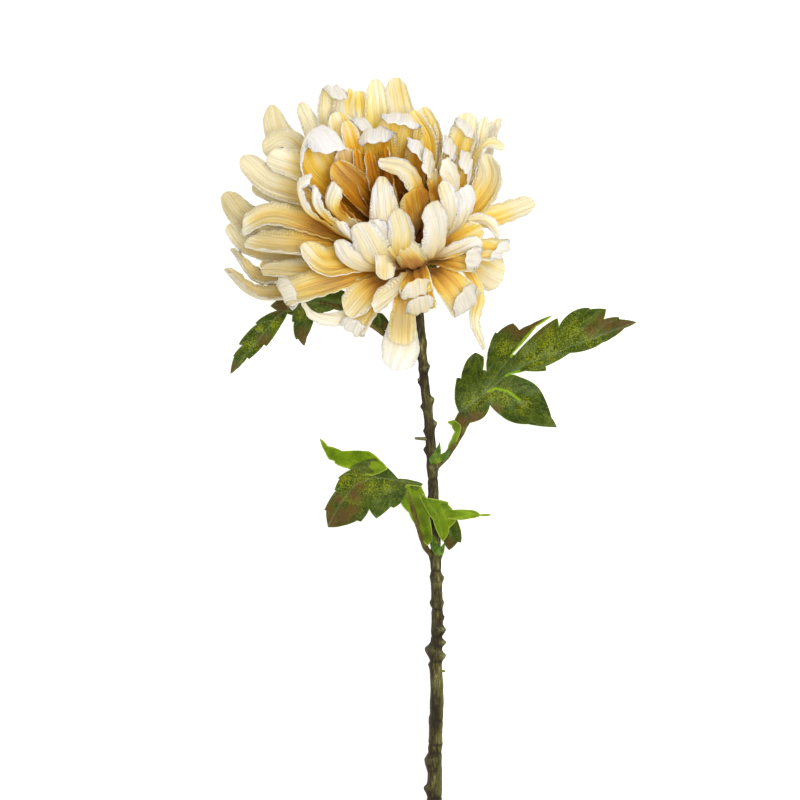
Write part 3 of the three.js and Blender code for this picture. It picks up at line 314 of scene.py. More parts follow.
LEAF_LOWER = dict(
    stalk=dict(points=[
        [7.9, -149, 25.4], [2.8, -143, 28.6], [0.2, -136, 32], [-3.4, -124, 36.3], [-7, -113.5, 37.7],
        [-14, -109.5, 37.5],
    ], thick=1.5, thin=0.9),
    pieces=[
        # The main blade, bent down to the left.
        dict(rib=[-2, -111, -46, -128], start=38.5, end=24, arch=5, droop=3, outline=[
            [1.5, -111], [-1.7, -114.4], [-6, -111.9], [-9.6, -120.5], [-13.2, -123], [-14.5, -122.3],
            [-21.8, -128.4], [-25.3, -123.6], [-29.5, -130], [-31.3, -129.4], [-39, -132.2], [-46, -132.9],
            [-47, -124.5], [-48, -124.3], [-42.2, -114.4], [-42.8, -114], [-40.2, -108.6], [-41.2, -108.3],
            [-34.5, -103.8], [-34.5, -102.5], [-25.5, -98.5], [-21.7, -98.5], [-18.5, -101], [-11, -108.3],
            [-2.6, -109.5],
        ]),
        # A lobe turned over at the back, with its underside up.
        dict(rib=[-18, -104, -50.5, -88], start=39, end=22, arch=-1, outline=[
            [-50.5, -88], [-46.3, -92], [-39, -94.6], [-25.5, -94.6], [-20.2, -98.8], [-16, -103.5],
            [-24, -107], [-34.5, -104], [-36.5, -103.2], [-42.5, -101], [-43, -99.6], [-45.6, -98.8],
            [-47.5, -95.5],
        ]),
        # The wings along the stalk.
        dict(rib=[-6.5, -112, 5, -142], start=38.6, end=30.5, arch=0.5, outline=[
            [-7, -111.4], [0.5, -112], [3.4, -119.5], [5, -128.5], [6.3, -139.5], [3.6, -142], [1, -139],
            [-2.6, -131], [-5.5, -125.5], [-9.6, -120.8],
        ]),
        # The lobe folded forwards over the stem, with its underside up.
        dict(rib=[3, -119, 15, -138], start=37.5, end=33.5, arch=1, outline=[
            [-1, -114], [3.2, -118], [14.3, -120.1], [14.3, -121.4], [16.2, -123.6], [18.5, -128.7],
            [14.6, -133.2], [14.6, -135.1], [11.5, -139.9], [10.2, -138.3], [6.5, -129], [1.5, -121],
        ]),
        # The lobe behind it, past the stem.
        dict(rib=[15, -125, 17, -144], start=35.6, end=24, arch=1, outline=[
            [13.6, -123], [17.6, -127], [20.7, -135.1], [20.7, -140.5], [19, -140.2], [14.6, -144.4],
            [12, -140.5], [12.6, -130],
        ]),
        # The narrow lobe that points to the right.
        dict(rib=[14, -124.5, 35.5, -126.5], start=36, end=34, arch=2, outline=[
            [13, -122.4], [16.5, -124], [27.4, -124.3], [30.2, -126.2], [35.5, -126.2], [35.4, -126.9],
            [30, -127.2], [24.8, -128.4], [18.8, -129], [13.5, -128],
        ]),
    ],
)

LEAF_UPPER = dict(
    stalk=dict(points=[
        [1.2, -47, 37], [-3.4, -44, 37.4], [-9, -40.5, 37.4], [-16, -37, 37], [-24, -31.5, 36],
        [-36, -24, 34.5], [-50, -20, 33],
    ], thick=1.8, thin=1),
    pieces=[
        # The middle of the blade, behind the petals.
        dict(rib=[-30, -25, -66, -20], start=35.5, end=31.5, arch=0, droop=3, outline=[
            [-15.5, -30], [-14, -35], [-23, -31.5], [-31, -26.5], [-37, -24.5], [-43, -23.5], [-48, -25],
            [-55, -28], [-59, -26], [-64, -26.5], [-70, -24], [-71.5, -21.5], [-66, -17], [-58, -13],
            [-46, -11.5], [-37, -15], [-30, -20], [-23, -25.5], [-19, -25.5],
        ]),
        # The long lobe out to the left.
        dict(rib=[-62, -20, -95.4, -55.9], start=32.2, end=12, arch=5, droop=6, outline=[
            [-60, -19], [-63, -23], [-66.2, -24.5], [-69.3, -30.9], [-76.9, -42], [-78.2, -41.2],
            [-85.8, -48.5], [-86.7, -47.6], [-89.6, -51], [-92.5, -53.7], [-95.4, -55.9], [-93.4, -47],
            [-93.9, -46.7], [-89, -41.5], [-91, -40.9], [-87.2, -35.8], [-81.8, -30.9], [-82.7, -30.5],
            [-78.2, -26.9], [-71, -24], [-65.7, -19.5],
        ]),
        # The lobe that hangs beside it.
        dict(rib=[-57, -22, -58.1, -41.8], start=32.2, end=22, arch=2, droop=8, outline=[
            [-62.5, -21], [-64.2, -29.5], [-63.2, -30], [-63.4, -34], [-62.2, -38.5], [-61.2, -38.2],
            [-58.1, -41.8], [-56.8, -37.5], [-53.2, -28.7], [-51, -22],
        ]),
        # The small lobe that shows under the lowest petal.
        dict(rib=[-64, -22, -73.8, -21.3], start=32.4, end=33, outline=[
            [-75, -21.8], [-68, -16.6], [-62, -17], [-62, -24], [-70.6, -24.6],
        ]),
    ],
)

LEAVES = {"leaf_right": LEAF_RIGHT, "leaf_lower": LEAF_LOWER, "leaf_upper": LEAF_UPPER}

# Young leaflets in the crook of a leaf stalk, each as its root, its tip and its width.
SPROUTS = {
    "sprout_upper": [
        [[6.4, -101.6, 32.6], [8.8, -93, 38], 6.5],
        [[7.6, -98.6, 34], [10, -90, 40.5], 3.6],
        [[8.6, -99.8, 34.5], [15.4, -94, 36], 4],
    ],
    "sprout_lower": [
        [[8, -147.5, 27.6], [12.6, -140.5, 33.6], 4.4],
        [[8, -146.5, 28], [6.6, -136.5, 35], 4.4],
    ],
}
LEAF_THICKNESS = 0.5
LEAF_STEP = 0.75  # spacing of the points over a leaf
LEAF_SWELL = 0.35  # most that the edge swells out between two teeth
VEIN_DEPTH = 0.5
VEIN_REACH = 3.2  # how far from a vein the leaf is back at its full height
VEIN_DROP = 0.35  # how much of the depth lies below the leaf of the part
LEAF_ATTRIBUTES = ("vein_mm", "rib_mm", "edge_mm", "browned_and_shaded", "speckled", "bright")

# How each leaf is marked, measured from the head. Spots are the place and radius of a patch of colour.
LEAF_MARKS = {
    "leaf_right": {
        "turned": (1,),
        "ribs": 2,
        "veins": [
            [
                (15, -82), (19.7, -75.4), (31.2, -66.8), (43.3, -56.6), (53.5, -50.8), (68.2, -45.4),
                (77.8, -41.3), (92, -36), (108, -30.1),
            ],
            [(31.2, -66.4), (37, -58), (45.9, -47), (54, -37.5), (66, -27.2)],
            [(35, -60), (41.4, -45.1), (46.5, -34.3)],
            [(26.8, -69.5), (29, -59.8), (27.7, -47)],
            [(21.7, -73), (21.7, -67.4), (21, -59.1)],
            [(33.1, -65.5), (38.2, -63.6), (44.6, -65.5), (49.7, -69.3), (54.8, -73.8), (68.4, -82.4)],
            [(23, -73), (26, -76.5), (29, -77.5)],
            [(52, -51.4), (57, -42), (66, -31)],
            [(62, -47.6), (70, -38), (77, -26.5)],
            [(72, -43.6), (82, -33), (90, -25.5)],
            [(84, -39), (93, -31), (98, -29)],
            [(66, -46.2), (74, -45.8)],
            [(45, -65.8), (53, -62), (60, -62.5)],
            [(50, -69.8), (57, -70), (64, -73)],
            [(46, -66.5), (46, -73), (50, -79.5)],
            [(40, -64), (39, -70), (40, -76)],
        ],
        "browned_and_shaded": [
            (50, -34, 5.5), (57, -31.5, 6), (60, -29, 5), (45, -31.5, 4), (21, -80, 5), (28, -78.5, 5),
            (104, -31, 8), (94, -30, 6), (86, -34, 4), (38, -74, 3),
        ],
        "speckled": [
            (42.5, -43, 5), (36, -66, 5), (42, -67, 6), (58, -48, 7), (65, -43, 8), (77, -35, 7),
            (85, -38, 6), (27, -70, 5), (53, -71, 4), (65, -35, 4),
        ],
        # Strips of painted highlight along some of the veins.
        "bright": [
            [(45.9, -47.2), (52, -39), (57.5, -33), (66, -27)],
            [(34, -64.8), (38.2, -63.2), (44, -64.6), (50, -69)],
            [(43, -56.9), (50, -54.6)],
        ],
    },
    "leaf_lower": {
        "turned": (1, 2, 3, 5),
        "ribs": 1,
        "veins": [
            [
                (1.7, -111.6), (-2.6, -110.6), (-11, -109.2), (-22.5, -107.6), (-33, -112), (-40, -121),
                (-46, -132.2),
            ],
            [(-22.5, -107.6), (-31, -106), (-40, -106.5)],
            [(-11, -109.4), (-17, -104.5), (-26, -99.5)],
            [(-22, -108), (-26, -116), (-26, -123)],
            [(-12, -110), (-15, -116), (-20, -125)],
            [(-32, -111.6), (-40, -113), (-46, -118)],
            [(-18, -103.5), (-28, -101.5), (-40, -96.5), (-50, -88.6)],
            [(3.5, -119.5), (9, -127), (11.3, -137)],
            [(15, -126), (27, -126.2), (34, -126.4)],
            [(-6, -113), (-2.5, -125), (2, -136)],
        ],
        # Brown patches; the last three spots darken the wings along the stalk as painted shade.
        "browned_and_shaded": [
            (-45, -130, 7), (-38, -127, 5), (-41, -119, 3), (-30, -112, 3), (-33, -117, 4), (-47, -124, 4),
            (15, -143, 5), (-34, -124, 4), (-1, -121, 4), (1, -129, 5), (3, -137, 4),
        ],
        "speckled": [
            (-38, -109, 6), (-30, -110, 6), (-24, -112, 5), (-34, -119, 5), (-17, -113, 4),
        ],
        "bright": [],
    },
    "leaf_upper": {
        "turned": (),
        "ribs": 1,
        "veins": [
            [(-24, -30), (-40, -20), (-62, -20.5), (-72, -27.5), (-80.5, -38), (-95.2, -55.6)],
            [(-73, -29), (-80, -30), (-86, -35)],
            [(-79, -36), (-85, -38), (-90, -41)],
            [(-77, -33), (-77, -39)],
            [(-84, -42.5), (-86, -47)],
            [(-86, -45), (-92, -48)],
            [(-56, -21), (-57.5, -31), (-58.2, -41.4)],
            [(-57, -29), (-61.5, -34)],
            [(-57.4, -30), (-55, -34)],
            [(-65, -20.5), (-73, -21.5)],
        ],
        "browned_and_shaded": [
            (-58, -40, 7), (-60, -35, 3), (-72, -21, 6), (-78.5, -39, 4), (-68, -22, 4), (-94, -53, 3),
            (-17.5, -31.5, 2.5),
        ],
        "speckled": [
            (-84, -41, 4), (-73, -31, 3), (-59, -26, 3), (-80, -33, 3),
        ],
        "bright": [],
    },
}


def linear(code):
    """A linear colour from an sRGB hex code."""
    channels = [int(code[i : i + 2], 16) / 255 for i in (1, 3, 5)]
    return (*(c / 12.92 if c <= 0.04045 else ((c + 0.055) / 1.055) ** 2.4 for c in channels), 1.0)


def seeded(state):
    """The same draws from 0 to 1 as in the part."""
    while True:
        state = (state * 1664525 + 1013904223) % 4294967296
        yield state / 4294967296


def unit(vector):
    return vector / np.linalg.norm(vector)


def spot(point):
    """A point by its place from the head and its height over the surface."""
    return np.array([HEAD[0] + point[0], HEAD[1] + point[1], point[2]])


def eased(value, low, high):
    """0 below low, 1 above high, and a smooth step between them."""
    t = np.clip((value - low) / (high - low), 0, 1)
    return t * t * (3 - 2 * t)


def rough(points, size, seed=0.0):
    """Noise from -1 to 1 at points in millimetres, with features of about this size."""
    shift = Vector((seed, -seed, 2 * seed))
    return np.array([noise.noise(Vector(p) / size + shift) for p in np.asarray(points).tolist()])


def smooth_line(points, count=None, samples=40):
    """Evenly spaced points along a centripetal Catmull-Rom curve through a list of points."""
    points = np.asarray(points, float)
    held = np.vstack([2 * points[0] - points[1], points, 2 * points[-1] - points[-2]])
    pieces = []
    for a, b, c, d in zip(held, held[1:], held[2:], held[3:]):
        k, m, n = (math.sqrt(np.linalg.norm(q - p)) for p, q in ((a, b), (b, c), (c, d)))
        start = ((b - a) / k - (c - a) / (k + m) + (c - b) / m) * m
        end = ((c - b) / m - (d - b) / (m + n) + (d - c) / n) * m
        t = np.linspace(0, 1, samples, endpoint=False)[:, None]
        pieces.append(
            b + start * t + (3 * (c - b) - 2 * start - end) * t**2 + (2 * (b - c) + start + end) * t**3
        )
    line = np.vstack([*pieces, points[-1:]])
    steps = np.concatenate([[0], np.cumsum(np.linalg.norm(np.diff(line, axis=0), axis=1))])
    even = np.linspace(0, steps[-1], count or len(line))
    return np.column_stack([np.interp(even, steps, line[:, i]) for i in range(3)]), steps[-1]


def carried(line, across):
    """Directions along, across and away from a line, with the one across carried from its start."""
    along = np.gradient(line, axis=0)
    along /= np.linalg.norm(along, axis=1)[:, None]
    turned = []
    for direction in along:
        across = unit(across - across.dot(direction) * direction)
        turned.append(across)
    turned = np.array(turned)
    return along, turned, np.cross(along, turned)


def deselect():
    bpy.ops.object.select_all(action="DESELECT")


def mesh_object(name, vertices, faces):
    """An object from vertices in millimetres."""
    mesh = bpy.data.meshes.new(name)
    mesh.from_pydata((np.asarray(vertices) * MM).tolist(), [], faces)
    made = bpy.data.objects.new(name, mesh)
    bpy.context.scene.collection.objects.link(made)
    return made


def apply_modifier(piece, name, kind, **settings):
    modifier = piece.modifiers.new(name, kind)
    for key, value in settings.items():
        setattr(modifier, key, value)
    deselect()
    piece.select_set(True)
    bpy.context.view_layer.objects.active = piece
    bpy.ops.object.modifier_apply(modifier=modifier.name)


def thickened(piece, thickness, backing=0):
    """Gives a sheet a thickness, in millimetres.

    Its back and its rim take the material that is further on by backing.
    """
    apply_modifier(
        piece, "thickness", "SOLIDIFY", thickness=thickness * MM, offset=0,
        material_offset=backing, material_offset_rim=backing,
    )
    return piece


def write_attribute(piece, name, values):
    data = piece.data.attributes.new(name, "FLOAT", "POINT").data
    data.foreach_set("value", np.asarray(values, np.float32))


def joined(name, parts):
    """One object from several."""
    deselect()
    for part in parts:
        part.select_set(True)
    bpy.context.view_layer.objects.active = parts[0]
    if len(parts) > 1:
        bpy.ops.object.join()
    parts[0].name = name
    return parts[0]


def dressed(piece, *materials):
    for material in materials:
        piece.data.materials.append(material)
    return piece


def finished(piece, slot, *nodes):
    """Puts a piece on the body and in the place of its CAD nodes."""
    piece.data.shade_smooth()
    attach(piece, ROOT)
    if nodes:
        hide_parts(*nodes)
    return piece


def sheet_grid(rows, columns):
    """Places along (0 to 1) and across (-1 to 1) a sheet, and its faces."""
    u, v = np.meshgrid(np.linspace(0, 1, rows + 1), np.linspace(-1, 1, columns + 1), indexing="ij")
    faces = []
    for i in range(rows):
        for j in range(columns):
            a = i * (columns + 1) + j
            faces.append((a, a + columns + 1, a + columns + 2, a + 1))
    return u.ravel(), v.ravel(), faces


def petal_breadth(share, point):
    """Half breadth of a petal along its length, as a share of the widest."""
    rounded = (0.24 + 0.76 * eased(share, 0, 0.7)) * (1 - 0.2 * eased(share, 0.76, 1))
    pointed = (0.24 + 0.76 * eased(share, 0, 0.62)) * (1 - 0.86 * np.clip((share - 0.5) / 0.5, 0, 1) ** 1.7)
    return rounded * (1 - point) + pointed * point


def petal_surface(row, width, cup, twist, point, points, draw):
    """The middle surface of one petal, with where each of its points lies along and across it."""
    height, radius = ROWS[row]
    first = points[0] - RECEPTACLE
    outward = unit(first - first.dot(AXIS) * AXIS)
    root = RECEPTACLE + AXIS * height + outward * radius
    line, length = smooth_line([root, *points])
    along, across, _ = carried(line, np.cross(AXIS, outward))

    u, v, _ = sheet_grid(PETAL_ROWS, PETAL_COLUMNS)
    corner = min(0.3, TIP_ROUND * width / length) * (1 - np.sqrt(np.clip(1 - 0.94 * v**2, 0, 1)))
    share = u * (1 - corner * eased(u, 0.2, 1))
    place = share * (len(line) - 1)
    index = np.clip(place.astype(int), 0, len(line) - 2)
    part = (place - index)[:, None]
    centre = line[index] * (1 - part) + line[index + 1] * part
    tangent = along[index]
    turn = np.radians(twist * share)[:, None]
    sideways = across[index] * np.cos(turn) + np.cross(tangent, across[index]) * np.sin(turn)
    normal = np.cross(tangent, sideways)

    half = (width / 2) * petal_breadth(share, point)
    grown = np.clip(share / 0.4, 0, 1)
    fullness = min(1.0, width / FULL_WIDTH) * grown
    fold = np.cos(draw.choice(PLEAT_COUNTS) * math.pi * (v + draw.uniform(-0.15, 0.15)))
    cloth = np.column_stack([v * half / CREASE_SIZE[0], share * length / CREASE_SIZE[1], np.zeros(len(v))])
    creases = CREASE * fullness * 2 * rough(cloth, 1.0, draw.uniform(0, 50))
    pleats = PLEAT * fullness * fold + creases
    phase = draw.uniform(0, 2 * math.pi)
    wave = np.sin(2 * math.pi * share * length / RIPPLE_LENGTH + phase + 1.5 * np.sign(v))
    ripples = RIPPLE * grown * np.clip((np.abs(v) - 0.5) / 0.5, 0, 1) ** 2 * wave
    rise = cup * half * (v**2 - 0.5) + pleats + ripples
    surface = centre + sideways * (v * half)[:, None] + normal * rise[:, None]
    surface[:, 2] = np.maximum(surface[:, 2], BLADE / 2)
    return surface, share, np.abs(v), v * half, share * length, fold * grown + 2 * creases


def ring_petals():
    """The petals that the part sets by rule, as row, width, cup, twist, point and points."""
    draws = seeded(7)

    def around(spread):
        return (next(draws) - 0.5) * spread

    made = []
    for row, count, first, last, length, width, root, tip in RINGS:
        height, radius = ROWS[row]
        for k in range(count):
            angle = math.radians(first + (last - first) * k / (count - 1) + around(8))
            outward = FRONT * math.cos(angle) + SIDE * math.sin(angle)
            reach = length * (1 + around(0.12))
            rise = math.radians(root + around(10))
            middle = RECEPTACLE + AXIS * height + outward * radius
            middle = middle + (outward * math.cos(rise) + AXIS * math.sin(rise)) * reach * 0.5
            rise = math.radians(tip + around(10))
            end = middle + (outward * math.cos(rise) + AXIS * math.sin(rise)) * reach * 0.5
            made.append((row, width, 0.35, around(30), 0.3, [middle, end]))
    return made


def petals(name, chosen, materials, seed):
    """One mesh of closed petals, golden on their inner face and cream on their outer face."""
    draw = random.Random(seed)
    *_, sheet = sheet_grid(PETAL_ROWS, PETAL_COLUMNS)
    faces, parts = [], []
    for row, *shape in chosen:
        surface, share, edge, side, reach, ridge = petal_surface(row, *shape, draw)
        start = len(parts) * len(surface)
        faces += [tuple(start + corner for corner in face) for face in sheet]
        seed_value = np.full(len(surface), draw.random())
        # The tops of the pleats are paler, a painted highlight.
        dye = share * PALING[row] + OWN_PALING * (seed_value - 0.5) + RIDGE_HIGHLIGHT * ridge
        dye = dye + PALE_MARGIN * edge**4 * eased(share, 0.25, 0.6)
        inward = surface - RECEPTACLE
        up = inward @ AXIS
        heart = np.hypot(np.linalg.norm(inward - up[:, None] * AXIS, axis=1), HEART_SQUASH * up)
        margin = np.clip((edge - 0.72) * 5, 0, 1) * np.clip((share - 0.45) * 4, 0, 1)
        # Beige by row, partly the cloth's own tone and partly painted shade, with more painted shade on the
        # petals left of the head.
        aged_and_shaded = AGED_AND_SHADED[row] + LEFT_PAINTED_SHADE * eased(HEAD[0] - surface[:, 0], *LEFT_SIDE) * (row < 2)
        aged_and_shaded = aged_and_shaded * (0.7 + 0.6 * seed_value) * eased(share, 0.2, 0.75)
        # Spots of the cloth's own tone, of painted shade and of painted light.
        for x, y, radius, paler, beiger in PETAL_TONES_AND_PAINTED_LIGHT:
            place = surface[:, :2] - HEAD[:2] - (x, y)
            near = np.exp(-(place**2).sum(axis=1) / radius**2)
            dye = dye + paler * near
            aged_and_shaded = aged_and_shaded + beiger * near
        aged_and_shaded = np.clip(aged_and_shaded, 0, MOST_AGED_AND_SHADED)
        amber = np.full(len(surface), AMBER[row])
        parts.append(np.column_stack([surface, dye, side, reach, heart, margin, seed_value, aged_and_shaded, amber]))
    data = np.vstack(parts)
    bloom = mesh_object(name, data[:, :3], faces)
    for column, key in enumerate(PETAL_ATTRIBUTES, start=3):
        write_attribute(bloom, key, data[:, column])
    return thickened(dressed(bloom, *materials), PETAL_THICKNESS, backing=1)


def turned_to(way):
    """The turn from +Z to another direction."""
    return Vector((0, 0, 1)).rotation_difference(Vector(way)).to_matrix().to_4x4()


def on_axis(piece):
    """Turns a piece that was made round +Z at the origin onto the axis of the bloom, in its mesh."""
    piece.data.transform(Matrix.Translation(Vector(RECEPTACLE * MM)) @ turned_to(AXIS))
    piece.data.update()
    return piece


def receptacle(material):
    """The dome in the middle, studded with buds that haven't opened."""
    middle = (CORE_HIGH + CORE_LOW) / 2 * MM
    tall = (CORE_HIGH - CORE_LOW) / 2 / CORE_RADIUS
    deselect()
    bpy.ops.mesh.primitive_uv_sphere_add(segments=28, ring_count=16, radius=CORE_RADIUS * MM)
    dome = bpy.context.object
    dome.data.transform(Matrix.Translation((0, 0, middle)) @ Matrix.Diagonal((0.96, 0.96, tall, 1)))
    parts = [dome]
    for k in range(BUDS):
        up = 1 - 0.55 * (k + 0.5) / BUDS
        flat = math.sqrt(1 - up * up)
        way = Vector((flat * math.cos(GOLDEN_ANGLE * k), flat * math.sin(GOLDEN_ANGLE * k), up))
        place = Vector((way.x * 0.94, way.y * 0.94, way.z * tall)) * CORE_RADIUS * MM + Vector((0, 0, middle))
        bpy.ops.mesh.primitive_ico_sphere_add(subdivisions=2, radius=BUD_RADIUS * MM)
        bud = bpy.context.object
        stretched = turned_to(way) @ Matrix.Diagonal((1, 1, BUD_STRETCH, 1))
        bud.data.transform(Matrix.Translation(place) @ stretched)
        parts.append(bud)
    return dressed(on_axis(joined("receptacle", parts)), material)


def leaflet(root, tip, width, normal, cup=0.3):
    """The middle surface of a small pointed blade, and where its points lie along and across it."""
    along = tip - root
    across = unit(np.cross(normal, along))
    away = unit(np.cross(along, across))
    u, v, faces = sheet_grid(14, 8)
    belly = 0.42  # where it is widest
    half = width / 2 * (0.3 + 0.7 * eased(u, 0, belly)) * (1 - 0.93 * eased(u, belly, 1.04))
    rise = cup * half * v**2 + width * 0.16 * np.sin(math.pi * u)
    surface = root + along * u[:, None] + across * (v * half)[:, None] + away * rise[:, None]
    return surface, faces, u, v


def calyx(material):
    """The green cup under the bloom with three rows of overlapping bracts."""
    top = CORE_LOW - GAP
    radius, height = CALYX_FOOT, CALYX_DISC
    deselect()
    bpy.ops.mesh.primitive_cylinder_add(vertices=32, radius=radius * MM, depth=height * MM)
    cup = bpy.context.object
    cup.data.transform(Matrix.Translation((0, 0, (top - CALYX_LENGTH + height / 2) * MM)))
    bpy.ops.object.mode_set(mode="EDIT")
    bpy.context.tool_settings.mesh_select_mode = (False, False, True)
    bpy.ops.mesh.select_all(action="DESELECT")
    bpy.ops.object.mode_set(mode="OBJECT")
    max(cup.data.polygons, key=lambda face: face.center.z).select = True
    bpy.ops.object.mode_set(mode="EDIT")
    for wide, share in CALYX_PROFILE:
        bpy.ops.mesh.extrude_region_move(
            TRANSFORM_OT_translate={"value": (0, 0, (CALYX_LENGTH * share - height) * MM)}
        )
        bpy.ops.transform.resize(value=(wide / radius, wide / radius, 1))
        radius, height = wide, CALYX_LENGTH * share
    bpy.ops.object.mode_set(mode="OBJECT")
    parts = [cup]
    lift = np.array([0, 0, 1.0])
    for tier, (low, high, foot, brim, count) in enumerate(BRACTS):
        for k in range(count):
            angle = 2 * math.pi * (k + 0.5 * tier) / count
            out = np.array([math.cos(angle), math.sin(angle), 0])
            root = out * foot + lift * (top - CALYX_LENGTH * (1 - low))
            tip = out * brim + lift * (top - CALYX_LENGTH * (1 - high))
            surface, faces, *_ = leaflet(root, tip, BRACT_WIDTH, out, cup=-0.35)
            parts.append(thickened(mesh_object("bract", surface, faces), BRACT_THICKNESS))
    return dressed(on_axis(joined("calyx", parts)), material)


def tube(name, points, stations, sides, surface, cap=0.8, ground=False, marks=None):
    """A closed tube along a line of points.

    surface(share, angle, length) gives its radius, and marks the attributes of its side.
    """
    line, length = smooth_line(points, stations + 1)
    start = unit(line[1] - line[0])
    along, right, away = carried(line, np.array([1.0, 0, 0]) - start[0] * start)
    share, angle = np.meshgrid(
        np.linspace(0, 1, stations + 1), np.arange(sides) * 2 * math.pi / sides, indexing="ij"
    )
    reach = surface(share, angle, length)
    body = (
        line[:, None] + right[:, None] * (reach * np.cos(angle))[..., None]
        - away[:, None] * (reach * np.sin(angle))[..., None]
    )
    caps = []
    for ring, middle in ((body[0], line[0]), (body[-1], line[-1])):
        caps += [middle + (ring - middle) * cap, middle + (ring - middle) * cap * 0.4]
    vertices = np.vstack([body.reshape(-1, 3), *caps, line[:1], line[-1:]])
    if ground:
        vertices[:, 2] = np.maximum(vertices[:, 2], 0)
    faces = []
    last = stations * sides
    inner = (stations + 1) * sides
    for j in range(sides):
        k = (j + 1) % sides
        for i in range(0, last, sides):
            faces.append((i + j, i + k, i + sides + k, i + sides + j))
        for first, second in ((0, inner), (inner, inner + sides)):
            faces.append((first + k, first + j, second + j, second + k))
        for first, second in ((last, inner + 2 * sides), (inner + 2 * sides, inner + 3 * sides)):
            faces.append((first + j, first + k, second + k, second + j))
        faces.append((inner + sides + k, inner + sides + j, inner + 4 * sides))
        faces.append((inner + 3 * sides + j, inner + 3 * sides + k, inner + 4 * sides + 1))
    made = mesh_object(name, vertices, faces)
    cut = np.zeros(len(vertices))
    cut[inner:] = 1
    write_attribute(made, "cut", cut)
    for key, values in (marks(share, angle, length) if marks else {}).items():
        padded = np.zeros(len(vertices))
        padded[:inner] = values.ravel()
        write_attribute(made, key, padded)
    return made


def grooved(distance):
    """1 in the grooves round the stem and 0 away from them."""
    return sum(np.exp(-(((distance - groove) / GROOVE_WIDTH) ** 2)) for groove in GROOVES)


def stem_marks(share, angle, length):
    """Where the bark has pale scars, dark grooves, painted shade on its flanks and a green side."""
    distance = share * length
    scar = np.zeros(share.shape)
    for place, side, height, half in KNOBS:
        facing = np.clip(np.cos(angle - math.radians(side)), 0, 1) ** 2
        scar += 0.5 * height * facing * np.exp(-(((distance - place) / (0.6 * half)) ** 2))
    return {
        "scar": np.clip(scar, 0, 1),
        "groove": np.clip(grooved(distance), 0, 1),
        "shaded_flank": eased(1 - np.cos(angle - math.radians(LIT_SIDE)), 0.2, 0.85),
        "greened": eased(np.cos(angle), 0.3, 0.8) * eased(GREENED_LENGTH - distance, 0, 12),
    }


def stem_radius(share, angle, length):
    """Radius of the stem with its knobs, as in the part, with shallow ribs and lumps on top."""
    distance = share * length
    radius = np.interp(share * (len(STEM_RADII) - 1), range(len(STEM_RADII)), STEM_RADII)
    for place, side, height, half in KNOBS:
        away = (distance - place) / half
        away = np.where(away > 0, away * STEEPER, away)
        facing = np.clip(np.cos(angle - math.radians(side)), 0, 1) ** 2
        radius = radius + height * np.exp(-away * away) * facing
    radius = radius - GROOVE_DEPTH * grooved(distance)
    ribs = 0.09 * np.cos(7 * angle + 0.02 * distance) + 0.05 * np.cos(13 * angle + 1)
    # The lumps are about twice as long up the stem as round it.
    places = np.column_stack([
        (radius * np.cos(angle)).ravel(), distance.ravel() * 0.45, (radius * np.sin(angle)).ravel(),
    ])
    lumps = 0.28 * rough(places, 2.6, 3.0) + 0.12 * rough(places, 1.1, 8.0)
    return radius + ribs + lumps.reshape(share.shape)


def stem(material):
    """The stem up to the calyx, with its stubs of side shoots."""
    top = RECEPTACLE + AXIS * (CORE_LOW - GAP - CALYX_LENGTH - GAP)
    points = [spot(p) for p in STEM_POINTS] + [top - AXIS * 6, top]
    parts = [tube("stem", points, STEM_STATIONS, STEM_SIDES, stem_radius, ground=True, marks=stem_marks)]
    for start, end, thick in STUBS:
        start, end = spot(start), spot(end)
        parts.append(tube(
            "stub", [start, (start + end) / 2, end], 8, 10,
            lambda share, angle, length: thick * (1 - STUB_TAPER * share),
            marks=lambda share, angle, length: {"scar": np.full(share.shape, STUB_SCAR)},
        ))
    return dressed(joined("stem", parts), material)


def away_from(points, lines):
    """Distance from each point to the nearest of some lines of points."""
    nearest = np.full(len(points), 99.0)
    for line in lines:
        line = np.asarray(line, float)
        for a, b in zip(line, line[1:]):
            along = b - a
            t = np.clip(((points - a) @ along) / along.dot(along), 0, 1)[:, None]
            nearest = np.minimum(nearest, np.linalg.norm(points - a - t * along, axis=1))
    return nearest


def near_spots(points, spots):
    """1 in the middle of the spots and 0 away from them."""
    most = np.zeros(len(points))
    for x, y, radius in spots:
        most = np.maximum(most, np.exp(-(((points - (x, y)) ** 2).sum(axis=1)) / radius**2))
    return most


def leaf_border(outline):
    """An outline with points all along it, swelling out a little between its teeth."""
    outline = np.asarray(outline, float)
    after = np.roll(outline, -1, axis=0)
    facing = np.sign(np.sum(outline[:, 0] * after[:, 1] - after[:, 0] * outline[:, 1]))
    border = []
    for a, b in zip(outline, after):
        edge = b - a
        length = np.linalg.norm(edge)
        out = np.array([edge[1], -edge[0]]) * facing / length
        count = max(1, round(length / LEAF_STEP))
        for t in np.arange(count) / count:
            border.append(a + edge * t + out * min(LEAF_SWELL, 0.05 * length) * 4 * t * (1 - t))
    return np.array(border)


def leaf_height(piece, x, y):
    """Height of a leaf piece over the surface, as in the part."""
    from_x, from_y, to_x, to_y = piece["rib"]
    way = np.array([to_x - from_x, to_y - from_y], float)
    length = np.linalg.norm(way)
    way /= length
    share = np.clip(((x - from_x) * way[0] + (y - from_y) * way[1]) / length, -0.3, 1.3)
    side = np.abs((x - from_x) * way[1] - (y - from_y) * way[0])
    rise = piece["end"] - piece["start"]
    arch = piece.get("arch", 0) * 4 * share * (1 - share)
    return piece["start"] + rise * share + arch - piece.get("droop", 0) * (side / 20) ** 2


